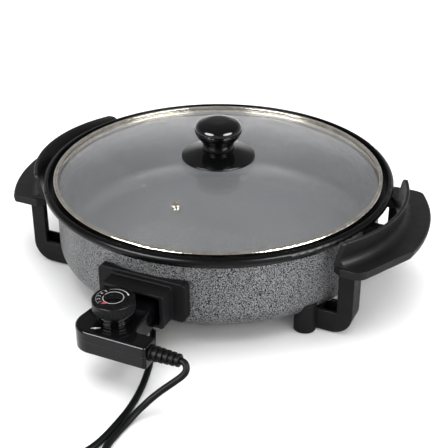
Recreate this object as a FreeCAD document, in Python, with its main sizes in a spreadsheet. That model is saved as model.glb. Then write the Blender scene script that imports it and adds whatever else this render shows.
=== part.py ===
import FreeCAD, Part
import math
import os
import Sketcher

# Electric pizza pan: a round countertop pan with a lift-off glass lid, two handles that
# stand on four legs, and a thermostat plug with its dial and mains cord.
# Frame: the origin is on the pan's axis at table level, +Z is up, -Y is the side of the
# thermostat socket, and the handles are at +X and -X. Lengths are in millimetres.

Vector = FreeCAD.Vector

# Driving sizes. Each one is set by itself and is written to the sheet under its name.
SIZES = {
    # pan: cast bowl with a rolled rim and a ledge for the lid
    "rim_radius": 200.0,
    "rim_top": 115.5,
    "rim_width": 6.0,
    "rim_depth": 9.0,
    "rim_round": 4.2,
    "rim_bead_step": 2.5,
    "ledge_depth": 10.5,
    "ledge_thick": 3.0,
    "wall_inset": 14.0,
    "wall_thick": 3.0,
    "pan_base": 18.5,
    "base_thick": 5.0,
    "pan_corner": 22.5,
    # bosses under the pan that take the leg screws
    "boss_radius": 6.5,
    "boss_drop": 2.0,
    "boss_depth": 22.0,
    # tubular heating element between two ribs under the pan
    "ring_radius": 110.0,
    "sheath_radius": 3.3,
    "rib_thick": 1.8,
    "rib_height": 5.0,
    "rib_gap": 0.2,
    "rib_notch": 26.0,
    "element_end_x": 14.0,
    "element_bend": 12.0,
    "element_rise": 47.0,
    "sheath_stand_off": 3.5,
    # lid
    "band_wall": 1.7,
    "glass_thick": 4.0,
    "glass_crown": 20.5,
    "lid_top": 134.0,
    "lid_gap": 6.0,
    "band_lip": 4.5,
    "band_top": 116.2,
    "band_seat_gap": 0.3,
    "band_foot_width": 2.6,
    "vent_radius": 113.3,
    "vent_turn": -88.6,
    "vent_flange_radius": 5.6,
    "vent_flange_thick": 0.9,
    "vent_barrel_radius": 3.4,
    "vent_hole_radius": 2.0,
    # knob
    "knob_plate_radius": 42.0,
    "knob_plate_edge": 2.6,
    "knob_plate_rise": 7.5,
    "knob_plate_gap": 0.3,
    "knob_neck_radius": 17.8,
    "knob_neck_height": 8.0,
    "knob_cap_radius": 27.5,
    "knob_height": 34.5,
    "knob_bore": 3.0,
    "knob_bore_depth": 20.0,
    "knob_washer_radius": 9.0,
    "knob_washer_thick": 1.5,
    "knob_screw_head_radius": 6.5,
    "knob_screw_head": 3.2,
    "knob_screw_length": 30.0,
    "glass_hole_radius": 4.0,
    # handle: guard and wing are arcs about a vertical axis inside the pan
    "handle_axis_x": 60.0,
    "guard_stand_off": 20.0,
    "guard_thick": 4.0,
    "guard_lean": 6.0,
    "guard_top": 115.5,
    "guard_near_y": 98.0,
    "guard_near_corner": 5.0,
    "guard_far_right": 72.0,
    "guard_far_left": 92.0,
    "guard_far_corner": 8.0,
    "wing_stand_off": 46.0,
    "wing_top": 86.5,
    "wing_thick": 4.5,
    "wing_skirt": 8.6,
    "wing_near_y": 103.5,
    "wing_far_y": 99.0,
    "wing_end_inset": 17.0,
    "wing_near_out_right": 6.0,
    "wing_near_out_left": 17.5,
    "wing_flank_right": 20.5,
    "wing_flank_left": 50.0,
    "wing_near_corner": 14.0,
    "grip_wall": 11.0,
    "wing_far_corner": 26.0,
    "skirt_thick": 3.5,
    "hollow_half_angle": 20.0,
    "tab_near_y": 28.0,
    "tab_far_y": 18.0,
    "tab_bottom": 78.0,
    "tab_top": 100.0,
    # legs
    "leg_inset": 3.0,
    "leg_width": 16.9,
    "leg_front_y": 94.6,
    "leg_depth": 25.5,
    "leg_bottom": 1.8,
    "bar_top": 26.3,
    "leg_corner": 22.0,
    "leg_wall": 3.5,
    "leg_back_wall": 3.0,
    "leg_head_plate": 4.0,
    "peg_inset": 39.5,
    "peg_y_right": 98.0,
    "peg_y_left": 84.0,
    "peg_radius": 12.0,
    "peg_bottom": 1.2,
    "peg_height": 34.0,
    "foot_radius": 9.5,
    "foot_recess": 2.8,
    "pan_clearance": 0.4,
    # screws that hold legs, handles, socket and housing
    "screw_radius": 2.0,
    "screw_clearance": 0.15,
    "screw_head_radius": 3.8,
    "screw_head": 2.4,
    "leg_screw_seat": 9.5,
    "handle_screw_inset": 10.0,
    "handle_screw_y": 86.0,
    "handle_screw_length": 10.0,
    "housing_screw_radius": 1.4,
    "housing_screw_head_radius": 2.8,
    "housing_screw_head": 1.8,
    # thermostat socket on the pan's wall
    "socket_half_width": 50.0,
    "socket_bottom": 37.0,
    "socket_top": 82.0,
    "socket_stand_off": 4.0,
    "socket_corner": 5.0,
    "shroud_half_width": 35.5,
    "shroud_top": 76.0,
    "shroud_length": 20.0,
    "shroud_wall": 4.5,
    "shroud_floor_wall": 3.0,
    "mouth_gap": 0.5,
    "socket_plate_out": 4.4,
    "socket_plate_thick": 1.4,
    "socket_gap": 0.15,
    "socket_hollow_half_width": 20.0,
    "socket_hollow_top": 61.0,
    "socket_screw_x": 25.0,
    "socket_screw_z": 67.5,
    "socket_screw_length": 11.8,
    "probe_z": 53.0,
    "probe_radius": 3.0,
    "probe_gap": 0.1,
    "sensor_boss_radius": 7.0,
    "sensor_boss_out": 5.5,
    "sensor_bore_depth": 7.0,
    "pin_radius": 2.0,
    "pin_setback": 1.5,
    # thermostat plug housing
    "housing_top": 65.0,
    "housing_split": 53.2,
    "housing_bottom": 41.0,
    "housing_wall": 2.2,
    "housing_arm_width": 22.0,
    "housing_neck_length": 61.0,
    "housing_arm_x": 52.0,
    "housing_left_x": 36.6,
    "housing_nose_gap": 1.6,
    "housing_nose_left": 24.4,
    "housing_nose_right": 25.0,
    "housing_neck_right": 28.8,
    "housing_big_corner": 21.0,
    "housing_elbow": 7.0,
    "housing_small_corner": 3.0,
    "housing_edge_round": 3.0,
    "post_radius": 3.4,
    "post_left_inset": 10.6,
    "post_right_inset": 8.0,
    "post_front_inset": 17.0,
    "post_neck_inset": 7.5,
    "post_neck_back": 25.5,
    "contact_outer_radius": 3.6,
    "contact_gap": 0.05,
    "contact_length": 24.0,
    "probe_tail_length": 36.0,
    # thermostat works
    "frame_thick": 1.5,
    "frame_half_width": 8.0,
    "frame_z": 46.5,
    "frame_end_gap": 17.0,
    "blade_thick": 0.6,
    "blade_half_width": 4.0,
    "stack_radius": 3.6,
    "stack_height": 7.0,
    "lamp_radius": 2.6,
    "lamp_length": 12.0,
    "lens_x": 7.0,
    "lens_inset": 10.2,
    "lens_half_length": 4.2,
    "lens_half_width": 1.5,
    "lens_proud": 0.5,
    # dial and spindle
    "dial_setback": 48.5,
    "dial_radius": 21.4,
    "dial_top": 87.5,
    "dial_grip_bottom": 75.0,
    "dial_ring_radius": 18.9,
    "dial_middle_radius": 17.4,
    "dial_neck_radius": 15.8,
    "dial_gap": 0.4,
    "dial_boss_radius": 16.6,
    "dial_boss_height": 2.2,
    "dial_grip_half_length": 9.5,
    "dial_grip_half_width": 4.2,
    "dial_grip_height": 1.6,
    "spindle_radius": 3.0,
    "spindle_gap": 0.05,
    "bush_radius": 5.0,
    "bush_height": 9.0,
    "spindle_bottom": 49.5,
    # strain relief, cord, coil and mains plug
    "cord_radius": 3.4,
    "relief_inset": 11.8,
    "relief_z": 53.2,
    "relief_root_radius": 7.8,
    "relief_tip_radius": 6.5,
    "relief_flange_radius": 6.0,
    "relief_neck_radius": 5.2,
    "relief_flange_thick": 2.0,
    "rib_pitch": 5.8,
    "rib_width": 3.6,
    "rib_groove": 1.7,
    "coil_x": 45.0,
    "coil_y": -452.0,
    "coil_outer": 42.0,
    "coil_pitch": 7.4,
    "cord_floor_gap": 0.2,
    "tie_width": 7.0,
    "tie_thick": 1.6,
    "plug_x": -98.0,
    "plug_y": 241.0,
    "plug_axis_z": 19.3,
    "plug_radius": 19.0,
    "plug_length": 62.0,
    "plug_pin_radius": 2.4,
    "plug_pin_length": 19.0,
    "plug_pin_spacing": 19.0,
}

RELIEF_RIBS = 5
COIL_HALF_TURNS = 7
LENS_WINDOW_SHARE = 0.06


class Size:
    """A number together with the expression that binds it to the sheet."""

    def __init__(self, value, text):
        self.value = float(value)
        self.text = text

    @staticmethod
    def of(other):
        return other if isinstance(other, Size) else Size(other, repr(float(other)))

    def _join(self, other, sign, value):
        return Size(value, f"({self.text} {sign} {Size.of(other).text})")

    def __add__(self, other):
        return self._join(other, "+", self.value + Size.of(other).value)

    def __sub__(self, other):
        return self._join(other, "-", self.value - Size.of(other).value)

    def __mul__(self, other):
        return self._join(other, "*", self.value * Size.of(other).value)

    def __truediv__(self, other):
        return self._join(other, "/", self.value / Size.of(other).value)

    def __radd__(self, other):
        return Size.of(other) + self

    def __rsub__(self, other):
        return Size.of(other) - self

    def __rmul__(self, other):
        return Size.of(other) * self

    def __neg__(self):
        return Size(-self.value, f"(0 - {self.text})")

    def root(self):
        return Size(math.sqrt(self.value), f"sqrt({self.text})")


class Sheet:
    """The spreadsheet of driving sizes, each one read back as a Size."""

    def __init__(self, document):
        sheet = document.addObject("Spreadsheet::Sheet", "Sizes")
        for row, (name, value) in enumerate(SIZES.items(), start=1):
            sheet.set(f"A{row}", name)
            sheet.set(f"B{row}", str(value))
            sheet.setAlias(f"B{row}", name)
            setattr(self, name, Size(value, f"Sizes.{name}"))
        document.recompute()


doc = FreeCAD.newDocument("pizza_pan")
s = Sheet(doc)
nodes = {}


# Places that several pieces share

rim_inner = s.rim_radius - s.rim_width
wall_radius = s.rim_radius - s.wall_inset
band_radius = rim_inner - s.lid_gap
glass_radius = band_radius - s.band_wall
guard_radius = s.rim_radius + s.guard_stand_off - s.handle_axis_x
wing_radius = s.rim_radius + s.wing_stand_off - s.handle_axis_x
wing_end_x = s.rim_radius - s.wing_end_inset
wing_near_x_right = s.rim_radius + s.wing_near_out_right
wing_near_x_left = s.rim_radius + s.wing_near_out_left
leg_outer_x = s.rim_radius - s.leg_inset
leg_inner_x = leg_outer_x - s.leg_width
peg_x = wall_radius - s.peg_inset
handle_screw_x = leg_outer_x - s.handle_screw_inset
socket_face_y = wall_radius + s.socket_stand_off
socket_plate_y = socket_face_y + s.socket_plate_out
shroud_face_y = socket_face_y + s.shroud_length
sensor_boss_y = wall_radius + s.sensor_boss_out
pin_reach = shroud_face_y - s.pin_setback
housing_nose_y = socket_plate_y + s.housing_nose_gap
housing_arm_y = housing_nose_y + s.housing_neck_length
housing_front_y = housing_arm_y + s.housing_arm_width
dial_y = housing_nose_y + s.dial_setback
probe_tail_y = housing_nose_y + s.probe_tail_length
frame_rear_y = housing_front_y - s.frame_end_gap
lens_y = housing_front_y - s.lens_inset
relief_y = housing_front_y - s.relief_inset
cavity_radius = wall_radius - s.wall_thick
seat_z = s.pan_base - s.boss_drop
ledge_top = s.rim_top - s.ledge_depth
band_bottom = ledge_top + s.band_seat_gap
glass_sphere = (glass_radius * glass_radius + s.glass_crown * s.glass_crown) / (2 * s.glass_crown)
knob_plate_z = s.lid_top - s.knob_plate_radius * s.knob_plate_radius / (2 * glass_sphere) + s.knob_plate_gap
knob_z = knob_plate_z + s.knob_plate_edge + s.knob_plate_rise
ring_z = s.pan_base - s.sheath_radius
wing_bottom = s.wing_top - s.wing_skirt
sheath_y = wall_radius + s.sheath_stand_off
floor_z = s.cord_radius + s.cord_floor_gap
CORNERS = [(sx, sy, sx * peg_x, sy * peg) for sy in (-1, 1) for sx, peg in ((-1, s.peg_y_left), (1, s.peg_y_right))]


# Helpers for the document's objects


def bind(obj, prop, size):
    """Set a property and bind it to the sheet."""
    obj.setExpression(prop, Size.of(size).text)


def at(obj, x=0.0, y=0.0, z=0.0, axis=(0, 0, 1), angle=0.0):
    """Place an object, with its base bound to the sheet."""
    base = [Size.of(v) for v in (x, y, z)]
    obj.Placement = FreeCAD.Placement(
        Vector(*(v.value for v in base)), FreeCAD.Rotation(Vector(*axis), angle)
    )
    for letter, size in zip("xyz", base):
        bind(obj, f".Placement.Base.{letter}", size)
    return obj


def box(name, x, y, z):
    """A box between pairs of sizes along X, Y and Z."""
    obj = doc.addObject("Part::Box", name)
    for prop, (low, high) in zip(("Length", "Width", "Height"), (x, y, z)):
        bind(obj, prop, Size.of(high) - low)
    return at(obj, x[0], y[0], z[0])


def rod(name, radius, length, x=0.0, y=0.0, z=0.0, axis=(0, 0, 1), angle=0.0):
    """A cylinder from a point, along Z unless it is turned."""
    obj = doc.addObject("Part::Cylinder", name)
    bind(obj, "Radius", radius)
    bind(obj, "Height", length)
    return at(obj, x, y, z, axis, angle)


def rod_y(name, radius, x, z, near, far):
    """A cylinder along Y between two distances in front of the axis."""
    return rod(name, radius, Size.of(far) - near, x, -Size.of(near), z, (1, 0, 0), 90)


def ball(name, radius, z):
    obj = doc.addObject("Part::Sphere", name)
    bind(obj, "Radius", radius)
    return at(obj, 0.0, 0.0, z)


def fuse(name, *pieces):
    obj = doc.addObject("Part::MultiFuse", name)
    obj.Shapes = list(pieces)
    return obj


def cut(name, base, *tools):
    obj = doc.addObject("Part::Cut", name)
    obj.Base = base
    obj.Tool = tools[0] if len(tools) == 1 else fuse(name + "_tools", *tools)
    return obj


def common(name, *pieces):
    obj = doc.addObject("Part::MultiCommon", name)
    obj.Shapes = list(pieces)
    return obj


def group(name, *pieces):
    """Separate solids under one name."""
    obj = doc.addObject("Part::Compound", name)
    obj.Links = list(pieces)
    return obj


def mirrored(name, source, normal):
    obj = doc.addObject("Part::Mirroring", name)
    obj.Source = source
    obj.Normal = Vector(*normal)
    return obj


def shaped(name, shape):
    """A piece whose shape is worked out from the sizes by Part's own functions."""
    obj = doc.addObject("Part::Feature", name)
    obj.Shape = shape
    obj.Placement = FreeCAD.Placement()
    return obj


def node(name, obj):
    """Keep an object as a sub-part; its Label names its file."""
    obj.Label = name
    nodes[name] = obj
    return obj


def origin_plane(body, role):
    return next(o for o in body.Origin.OriginFeatures if o.Role == role)


def draw(sketch, corners):
    """Draw a closed outline; a corner is (x, y) or (x, y, fillet radius), all bound to the sheet."""
    corners = [tuple(Size.of(v) for v in corner) for corner in corners]
    count = len(corners)
    spots = [Vector(c[0].value, c[1].value, 0) for c in corners]
    leave, arrive, arcs = {}, {}, {}
    for i, corner in enumerate(corners):
        back = (spots[i - 1] - spots[i]).normalize()
        ahead = (spots[(i + 1) % count] - spots[i]).normalize()
        if len(corner) < 3:
            leave[i] = arrive[i] = spots[i]
            continue
        half = back.getAngle(ahead) / 2
        reach = corner[2].value / math.tan(half)
        arrive[i] = spots[i] + back * reach
        leave[i] = spots[i] + ahead * reach
        middle = spots[i] + (back + ahead).normalize() * (corner[2].value / math.sin(half) - corner[2].value)
        arcs[i] = Part.Arc(arrive[i], middle, leave[i])
    lines = [
        sketch.addGeometry(Part.LineSegment(leave[i], arrive[(i + 1) % count])) for i in range(count)
    ]
    arc_of = {i: sketch.addGeometry(arc) for i, arc in arcs.items()}
    for i, corner in enumerate(corners):
        before, after = lines[i - 1], lines[i]
        if i not in arc_of:
            sketch.addConstraint(Sketcher.Constraint("Coincident", before, 2, after, 1))
            point = (after, 1)
        else:
            arc = arc_of[i]
            start = sketch.getPoint(arc, 1)
            near, far = (1, 2) if (start - arrive[i]).Length < (start - leave[i]).Length else (2, 1)
            sketch.addConstraint(Sketcher.Constraint("Tangent", before, 2, arc, near))
            sketch.addConstraint(Sketcher.Constraint("Tangent", arc, far, after, 1))
            radius = sketch.addConstraint(Sketcher.Constraint("Radius", arc, corner[2].value))
            sketch.setExpression(f"Constraints[{radius}]", corner[2].text)
            mark = sketch.addGeometry(Part.Point(spots[i]), True)
            sketch.addConstraint(Sketcher.Constraint("PointOnObject", mark, 1, before))
            sketch.addConstraint(Sketcher.Constraint("PointOnObject", mark, 1, after))
            point = (mark, 1)
        for kind, size in (("DistanceX", corner[0]), ("DistanceY", corner[1])):
            index = sketch.addConstraint(Sketcher.Constraint(kind, -1, 1, *point, size.value))
            sketch.setExpression(f"Constraints[{index}]", size.text)


def body_with_sketch(name, role, corners):
    """A body whose first sketch, on one of its origin planes, holds an outline."""
    body = doc.addObject("PartDesign::Body", name)
    sketch = body.newObject("Sketcher::SketchObject", name + "_outline")
    sketch.AttachmentSupport = [(origin_plane(body, role), "")]
    sketch.MapMode = "FlatFace"
    draw(sketch, corners)
    return body, sketch


def turned(name, corners, angle=360.0):
    """A body turned about its own Z axis from an outline of (radius, height)."""
    body, sketch = body_with_sketch(name, "XZ_Plane", corners)
    feature = body.newObject("PartDesign::Revolution", name + "_turn")
    feature.Profile = sketch
    feature.ReferenceAxis = (sketch, ["V_Axis"])
    bind(feature, "Angle", angle)
    feature.Midplane = Size.of(angle).value < 360
    return body


def plate(name, role, corners, depth):
    """A body padded from an outline, from its plane along the plane's normal."""
    body, sketch = body_with_sketch(name, role, corners)
    feature = body.newObject("PartDesign::Pad", name + "_pad")
    feature.Profile = sketch
    bind(feature, "Length", depth)
    return body


def slab(name, corners, low, high):
    """A plan outline between two heights."""
    return at(plate(name, "XY_Plane", corners, Size.of(high) - low), z=low)


def front_plate(name, corners, near, far):
    """An elevation outline of (x, z) between two distances in front of the axis."""
    return at(plate(name, "XZ_Plane", corners, Size.of(far) - near), y=-Size.of(near))


def rounded_top(body, height, radius):
    """Round the edges of a body's top face."""
    doc.recompute()
    tip = body.Tip
    level = Size.of(height).value
    edges = [
        f"Edge{i}"
        for i, edge in enumerate(tip.Shape.Edges, start=1)
        if all(abs(v.Z - level) < 1e-4 for v in edge.Vertexes)
    ]
    feature = body.newObject("PartDesign::Fillet", body.Name + "_round")
    feature.Base = (tip, edges)
    bind(feature, "Radius", radius)
    return body


def screw(name, shank, head, head_height, length, x, y, z, axis=(0, 0, 1), angle=0.0):
    """A pan-head screw whose shank runs along +Z from its seat, with a cross recess."""
    profile = turned(
        name + "_blank",
        [(0, -head_height), (head, -head_height, head_height * 0.45), (head, 0), (shank, 0), (shank, length), (0, length)],
    )
    slots = [
        box(f"{name}_slot_{turn}", *span, (-head_height - 1, -head_height * 0.45))
        for turn, span in enumerate(
            (((-head * 0.5, head * 0.5), (-head * 0.12, head * 0.12)), ((-head * 0.12, head * 0.12), (-head * 0.5, head * 0.5)))
        )
    ]
    return at(cut(name, profile, *slots), x, y, z, axis, angle)


# Pan


def pan_solid():
    """The bowl as one turned section: base, wall, ledge and rolled rim."""
    under_ledge = ledge_top - s.ledge_thick
    bead_bottom = s.rim_top - s.rim_depth
    inner_corner = s.pan_corner - s.wall_thick
    return turned(
        "pan_bowl",
        [
            (0, s.pan_base),
            (wall_radius, s.pan_base, s.pan_corner),
            (wall_radius, under_ledge, 2),
            (rim_inner - 1, under_ledge),
            (rim_inner + s.rim_bead_step - 1, bead_bottom),
            (s.rim_radius, bead_bottom, s.rim_round),
            (s.rim_radius, s.rim_top, s.rim_round),
            (rim_inner, s.rim_top, 1),
            (rim_inner, ledge_top),
            (cavity_radius, ledge_top, 1),
            (cavity_radius, s.pan_base + s.base_thick, inner_corner),
            (0, s.pan_base + s.base_thick),
        ],
    )


def pan_inside():
    """The space inside the bowl, which trims whatever is cast onto the wall."""
    base = s.pan_base + s.base_thick
    return turned(
        "pan_inside",
        [(0, base), (cavity_radius, base, s.pan_corner - s.wall_thick), (cavity_radius, s.rim_top), (0, s.rim_top)],
    )


def make_pan():
    bosses = [
        rod(f"leg_boss_{i}", s.boss_radius, s.boss_depth, x, y, seat_z) for i, (_, _, x, y) in enumerate(CORNERS)
    ]
    inner = s.ring_radius - s.sheath_radius - s.rib_gap
    outer = s.ring_radius + s.sheath_radius + s.rib_gap
    low = s.pan_base - s.rib_height
    top = s.pan_base + 1
    ribs = [
        turned(
            name,
            [(radius, low), (radius + s.rib_thick, low), (radius + s.rib_thick, top), (radius, top)],
        )
        for name, radius in (("inner_rib", inner - s.rib_thick), ("outer_rib", outer))
    ]
    sensor = rod_y("sensor_boss", s.sensor_boss_radius, 0.0, s.probe_z, cavity_radius - 4, sensor_boss_y)
    blank = fuse("pan_blank", pan_solid(), *bosses, *ribs, sensor)
    holes = [
        rod(f"leg_thread_{i}", s.screw_radius + 0.02, s.boss_depth * 0.45, x, y, seat_z - 1)
        for i, (_, _, x, y) in enumerate(CORNERS)
    ]
    bore = rod_y(
        "sensor_bore", s.probe_radius + s.probe_gap, 0.0, s.probe_z, sensor_boss_y - s.sensor_bore_depth, sensor_boss_y + 1
    )
    threads = [
        rod_y(
            f"socket_thread_{i}", s.screw_radius + 0.02, side * s.socket_screw_x, s.socket_screw_z,
            socket_plate_y - s.socket_screw_length - 0.2, wall_radius + 1,
        )
        for i, side in enumerate((-1, 1))
    ]
    notch = box("rib_notch_space", (-s.rib_notch, s.rib_notch), (-(outer + 6), -(inner - 8)), (low - 1, s.pan_base))
    node("pan", cut("pan_cut", blank, pan_inside(), bore, notch, *holes, *threads))


# Heating element: a sheathed ring whose two cold ends turn up behind the socket


def make_element():
    r = s.ring_radius.value
    z = ring_z.value
    x_end = s.element_end_x.value
    bend = s.element_bend.value
    gap = math.asin((x_end + bend) / (r + bend))
    y_end = -sheath_y.value
    top = s.element_rise.value
    leave = Vector(r * math.sin(gap), -r * math.cos(gap), z)
    turn = Vector((r + bend) * math.sin(gap), -(r + bend) * math.cos(gap), z)
    meet = Vector(x_end, turn.y, z)
    half = ((leave - turn) + (meet - turn)).normalize() * bend
    pieces = [
        Part.LineSegment(Vector(x_end, y_end, top), Vector(x_end, y_end, z + bend)),
        Part.Arc(
            Vector(x_end, y_end, z + bend),
            Vector(x_end, y_end + bend * (1 - math.sqrt(0.5)), z + bend * (1 - math.sqrt(0.5))),
            Vector(x_end, y_end + bend, z),
        ),
        Part.LineSegment(Vector(x_end, y_end + bend, z), meet),
        Part.Arc(meet, turn + half, leave),
    ]
    flip = FreeCAD.Matrix()
    flip.scale(-1, 1, 1)
    edges = [piece.toShape() for piece in pieces]
    ring = Part.Arc(leave, Vector(0, r, z), Vector(-leave.x, leave.y, z)).toShape()
    others = [edge.transformGeometry(flip) for edge in reversed(edges)]
    path = Part.Wire(edges + [ring] + others)
    section = Part.Wire(Part.Circle(Vector(x_end, y_end, top), Vector(0, 0, 1), s.sheath_radius.value).toShape())
    node("heating_element", shaped("element_tube", path.makePipeShell([section], True, False)))


def make_terminal_pins():
    """Bent contact pins: up out of the element's cold ends, then forward through the socket."""
    pins = []
    for i, side in enumerate((-1, 1)):
        upright = rod(f"pin_root_{i}", s.pin_radius, s.probe_z - s.element_rise + s.pin_radius, side * s.element_end_x, -sheath_y, s.element_rise)
        blade = rod_y(f"pin_blade_{i}", s.pin_radius, side * s.element_end_x, s.probe_z, sheath_y - s.pin_radius, pin_reach)
        pins.append(fuse(f"pin_{i}", upright, blade))
    node("terminal_pins", group("terminal_pin_pair", *pins))


# Thermostat socket


def make_socket():
    corner = s.socket_corner
    half, shroud = s.socket_half_width, s.shroud_half_width
    low, high = s.housing_bottom - s.mouth_gap, s.shroud_top - s.shroud_floor_wall
    base = front_plate(
        "socket_base",
        [(-half, s.socket_bottom, corner), (half, s.socket_bottom, corner), (half, s.socket_top, corner), (-half, s.socket_top, corner)],
        wall_radius - 14,
        socket_face_y,
    )
    block = front_plate(
        "socket_block",
        [
            (-shroud, low - s.shroud_floor_wall, 3),
            (shroud, low - s.shroud_floor_wall, 3),
            (shroud, s.shroud_top, 3),
            (-shroud, s.shroud_top, 3),
        ],
        socket_face_y - 3,
        shroud_face_y,
    )
    inner = shroud - s.shroud_wall
    mouth = front_plate(
        "socket_mouth",
        [(-inner, low, 2), (inner, low, 2), (inner, high, 2), (-inner, high, 2)],
        socket_plate_y,
        shroud_face_y + 1,
    )
    hollow_half = s.socket_hollow_half_width
    hollow = box(
        "socket_hollow",
        (-hollow_half, hollow_half),
        (-(socket_plate_y - s.socket_plate_thick), -(wall_radius - 15)),
        (s.socket_bottom - 1, s.socket_hollow_top),
    )
    wall = rod("socket_wall_fit", wall_radius + s.socket_gap, 80, z=20)
    probe_hole = rod_y("probe_hole", s.probe_radius + 0.6, 0.0, s.probe_z, wall_radius - 5, socket_plate_y + 1)
    pin_holes = [
        rod_y(f"pin_hole_{i}", s.pin_radius + 0.05, side * s.element_end_x, s.probe_z, wall_radius - 5, socket_plate_y + 1)
        for i, side in enumerate((-1, 1))
    ]
    screw_holes = [
        rod_y(
            f"socket_screw_hole_{i}", s.screw_radius + s.screw_clearance, side * s.socket_screw_x, s.socket_screw_z,
            wall_radius - 5, socket_plate_y + 1,
        )
        for i, side in enumerate((-1, 1))
    ]
    blank = fuse("socket_blank", base, block)
    node("thermostat_socket", cut("socket_cut", blank, mouth, hollow, wall, probe_hole, *pin_holes, *screw_holes))
    screws = [
        screw(
            f"socket_screw_{i}", s.screw_radius, s.screw_head_radius, s.screw_head, s.socket_screw_length,
            side * s.socket_screw_x, -socket_plate_y, s.socket_screw_z, (1, 0, 0), -90,
        )
        for i, side in enumerate((-1, 1))
    ]
    node("socket_screws", group("socket_screw_pair", *screws))


# Handles: guard and wing turned about an axis inside the pan, trimmed in plan and elevation


def handle_blank(side, guard_far, near_x, flank):
    """One handle in the right-hand place, before its hollow, tabs and screw holes."""
    top_inner = guard_radius - s.guard_thick
    foot_outer = guard_radius - s.guard_lean
    foot_inner = foot_outer - s.guard_thick
    profile = turned(
        f"{side}_profile",
        [
            (top_inner, s.guard_top, s.guard_thick * 0.45),
            (guard_radius, s.guard_top, s.guard_thick * 0.45),
            (foot_outer, s.wing_top, 9),
            (wing_radius, s.wing_top, 2.5),
            (wing_radius - 1.5, wing_bottom, 1.5),
            (foot_inner - 0.5, wing_bottom),
            (foot_inner - 0.5, s.wing_top - 4),
        ],
        100.0,
    )
    near, far = s.wing_near_y, s.wing_far_y
    reach = wing_radius + 4
    near_corner = near_x - s.handle_axis_x
    end = wing_end_x - s.handle_axis_x
    plan = slab(
        f"{side}_plan",
        [
            (end, -near, 4),
            (near_corner, -near, s.wing_near_corner),
            (reach, -flank, 30),
            (reach, far - 79, 60),
            (end + 41, far, s.wing_far_corner),
            (end, far, 4),
            (end - 23, far - 20),
            (end - 23, 20 - near),
        ],
        wing_bottom - 5,
        s.wing_top,
    )
    side_view = plate(
        f"{side}_elevation",
        "YZ_Plane",
        [
            (-s.guard_near_y, s.wing_top),
            (guard_far - 4, s.wing_top),
            (guard_far, s.guard_top + 0.01, s.guard_far_corner),
            (-s.guard_near_y, s.guard_top + 0.01, s.guard_near_corner),
        ],
        wing_radius + 10,
    )
    return common(f"{side}_trim", profile, fuse(f"{side}_space", plan, side_view))


def handle_tab():
    """The tab from the guard's foot to the pan's wall."""
    back = guard_radius - s.guard_lean - s.guard_thick + 1
    block = box("handle_tab_block", (wall_radius - 8, s.handle_axis_x + back), (-s.tab_near_y, -s.tab_far_y), (s.tab_bottom, s.tab_top))
    limit = turned(
        "handle_tab_limit",
        [(0, s.tab_bottom - 5), (back, s.tab_bottom - 5), (back + 2, s.tab_top + 5), (0, s.tab_top + 5)],
    )
    return common("handle_tab", block, at(limit, s.handle_axis_x))


def make_handles():
    foot = guard_radius - s.guard_lean - s.guard_thick + s.skirt_thick
    rim = wing_radius - s.grip_wall
    under, ceiling = wing_bottom - 2, s.wing_top - s.wing_thick
    hollow = turned("handle_hollow", [(foot, under), (rim, under), (rim, ceiling), (foot, ceiling)], 2 * s.hollow_half_angle)
    wall = rod("handle_wall_fit", wall_radius + s.socket_gap, 80, z=50)
    tab = handle_tab()
    holes = [
        rod(f"handle_thread_{i}", s.screw_radius + 0.02, s.wing_skirt * 0.75 + 1, handle_screw_x, side * s.handle_screw_y, wing_bottom - 1)
        for i, side in enumerate((-1, 1))
    ]
    handles = []
    forms = (
        ("right", s.guard_far_right, wing_near_x_right, s.wing_flank_right),
        ("left", s.guard_far_left, wing_near_x_left, s.wing_flank_left),
    )
    for side, *form in forms:
        shell = at(cut(f"{side}_shell", handle_blank(side, *form), hollow), s.handle_axis_x)
        handles.append(cut(f"{side}_cut", fuse(f"{side}_blank", shell, tab), wall, *holes))
    node("handle_right", handles[0])
    node("handle_left", mirrored("handle_left_mirror", handles[1], (1, 0, 0)))


# Legs: an angle-section upright and an open channel that ends in a peg under the pan


def pan_envelope(side):
    """The pan's outside with the legs' clearance, as a cutting shape."""
    gap = s.pan_clearance
    base = s.pan_base - gap
    wall = wall_radius + gap
    return turned(f"{side}_pan_envelope", [(0, base), (wall, base, s.pan_corner + gap), (wall, s.wing_top), (0, s.wing_top)])


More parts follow.
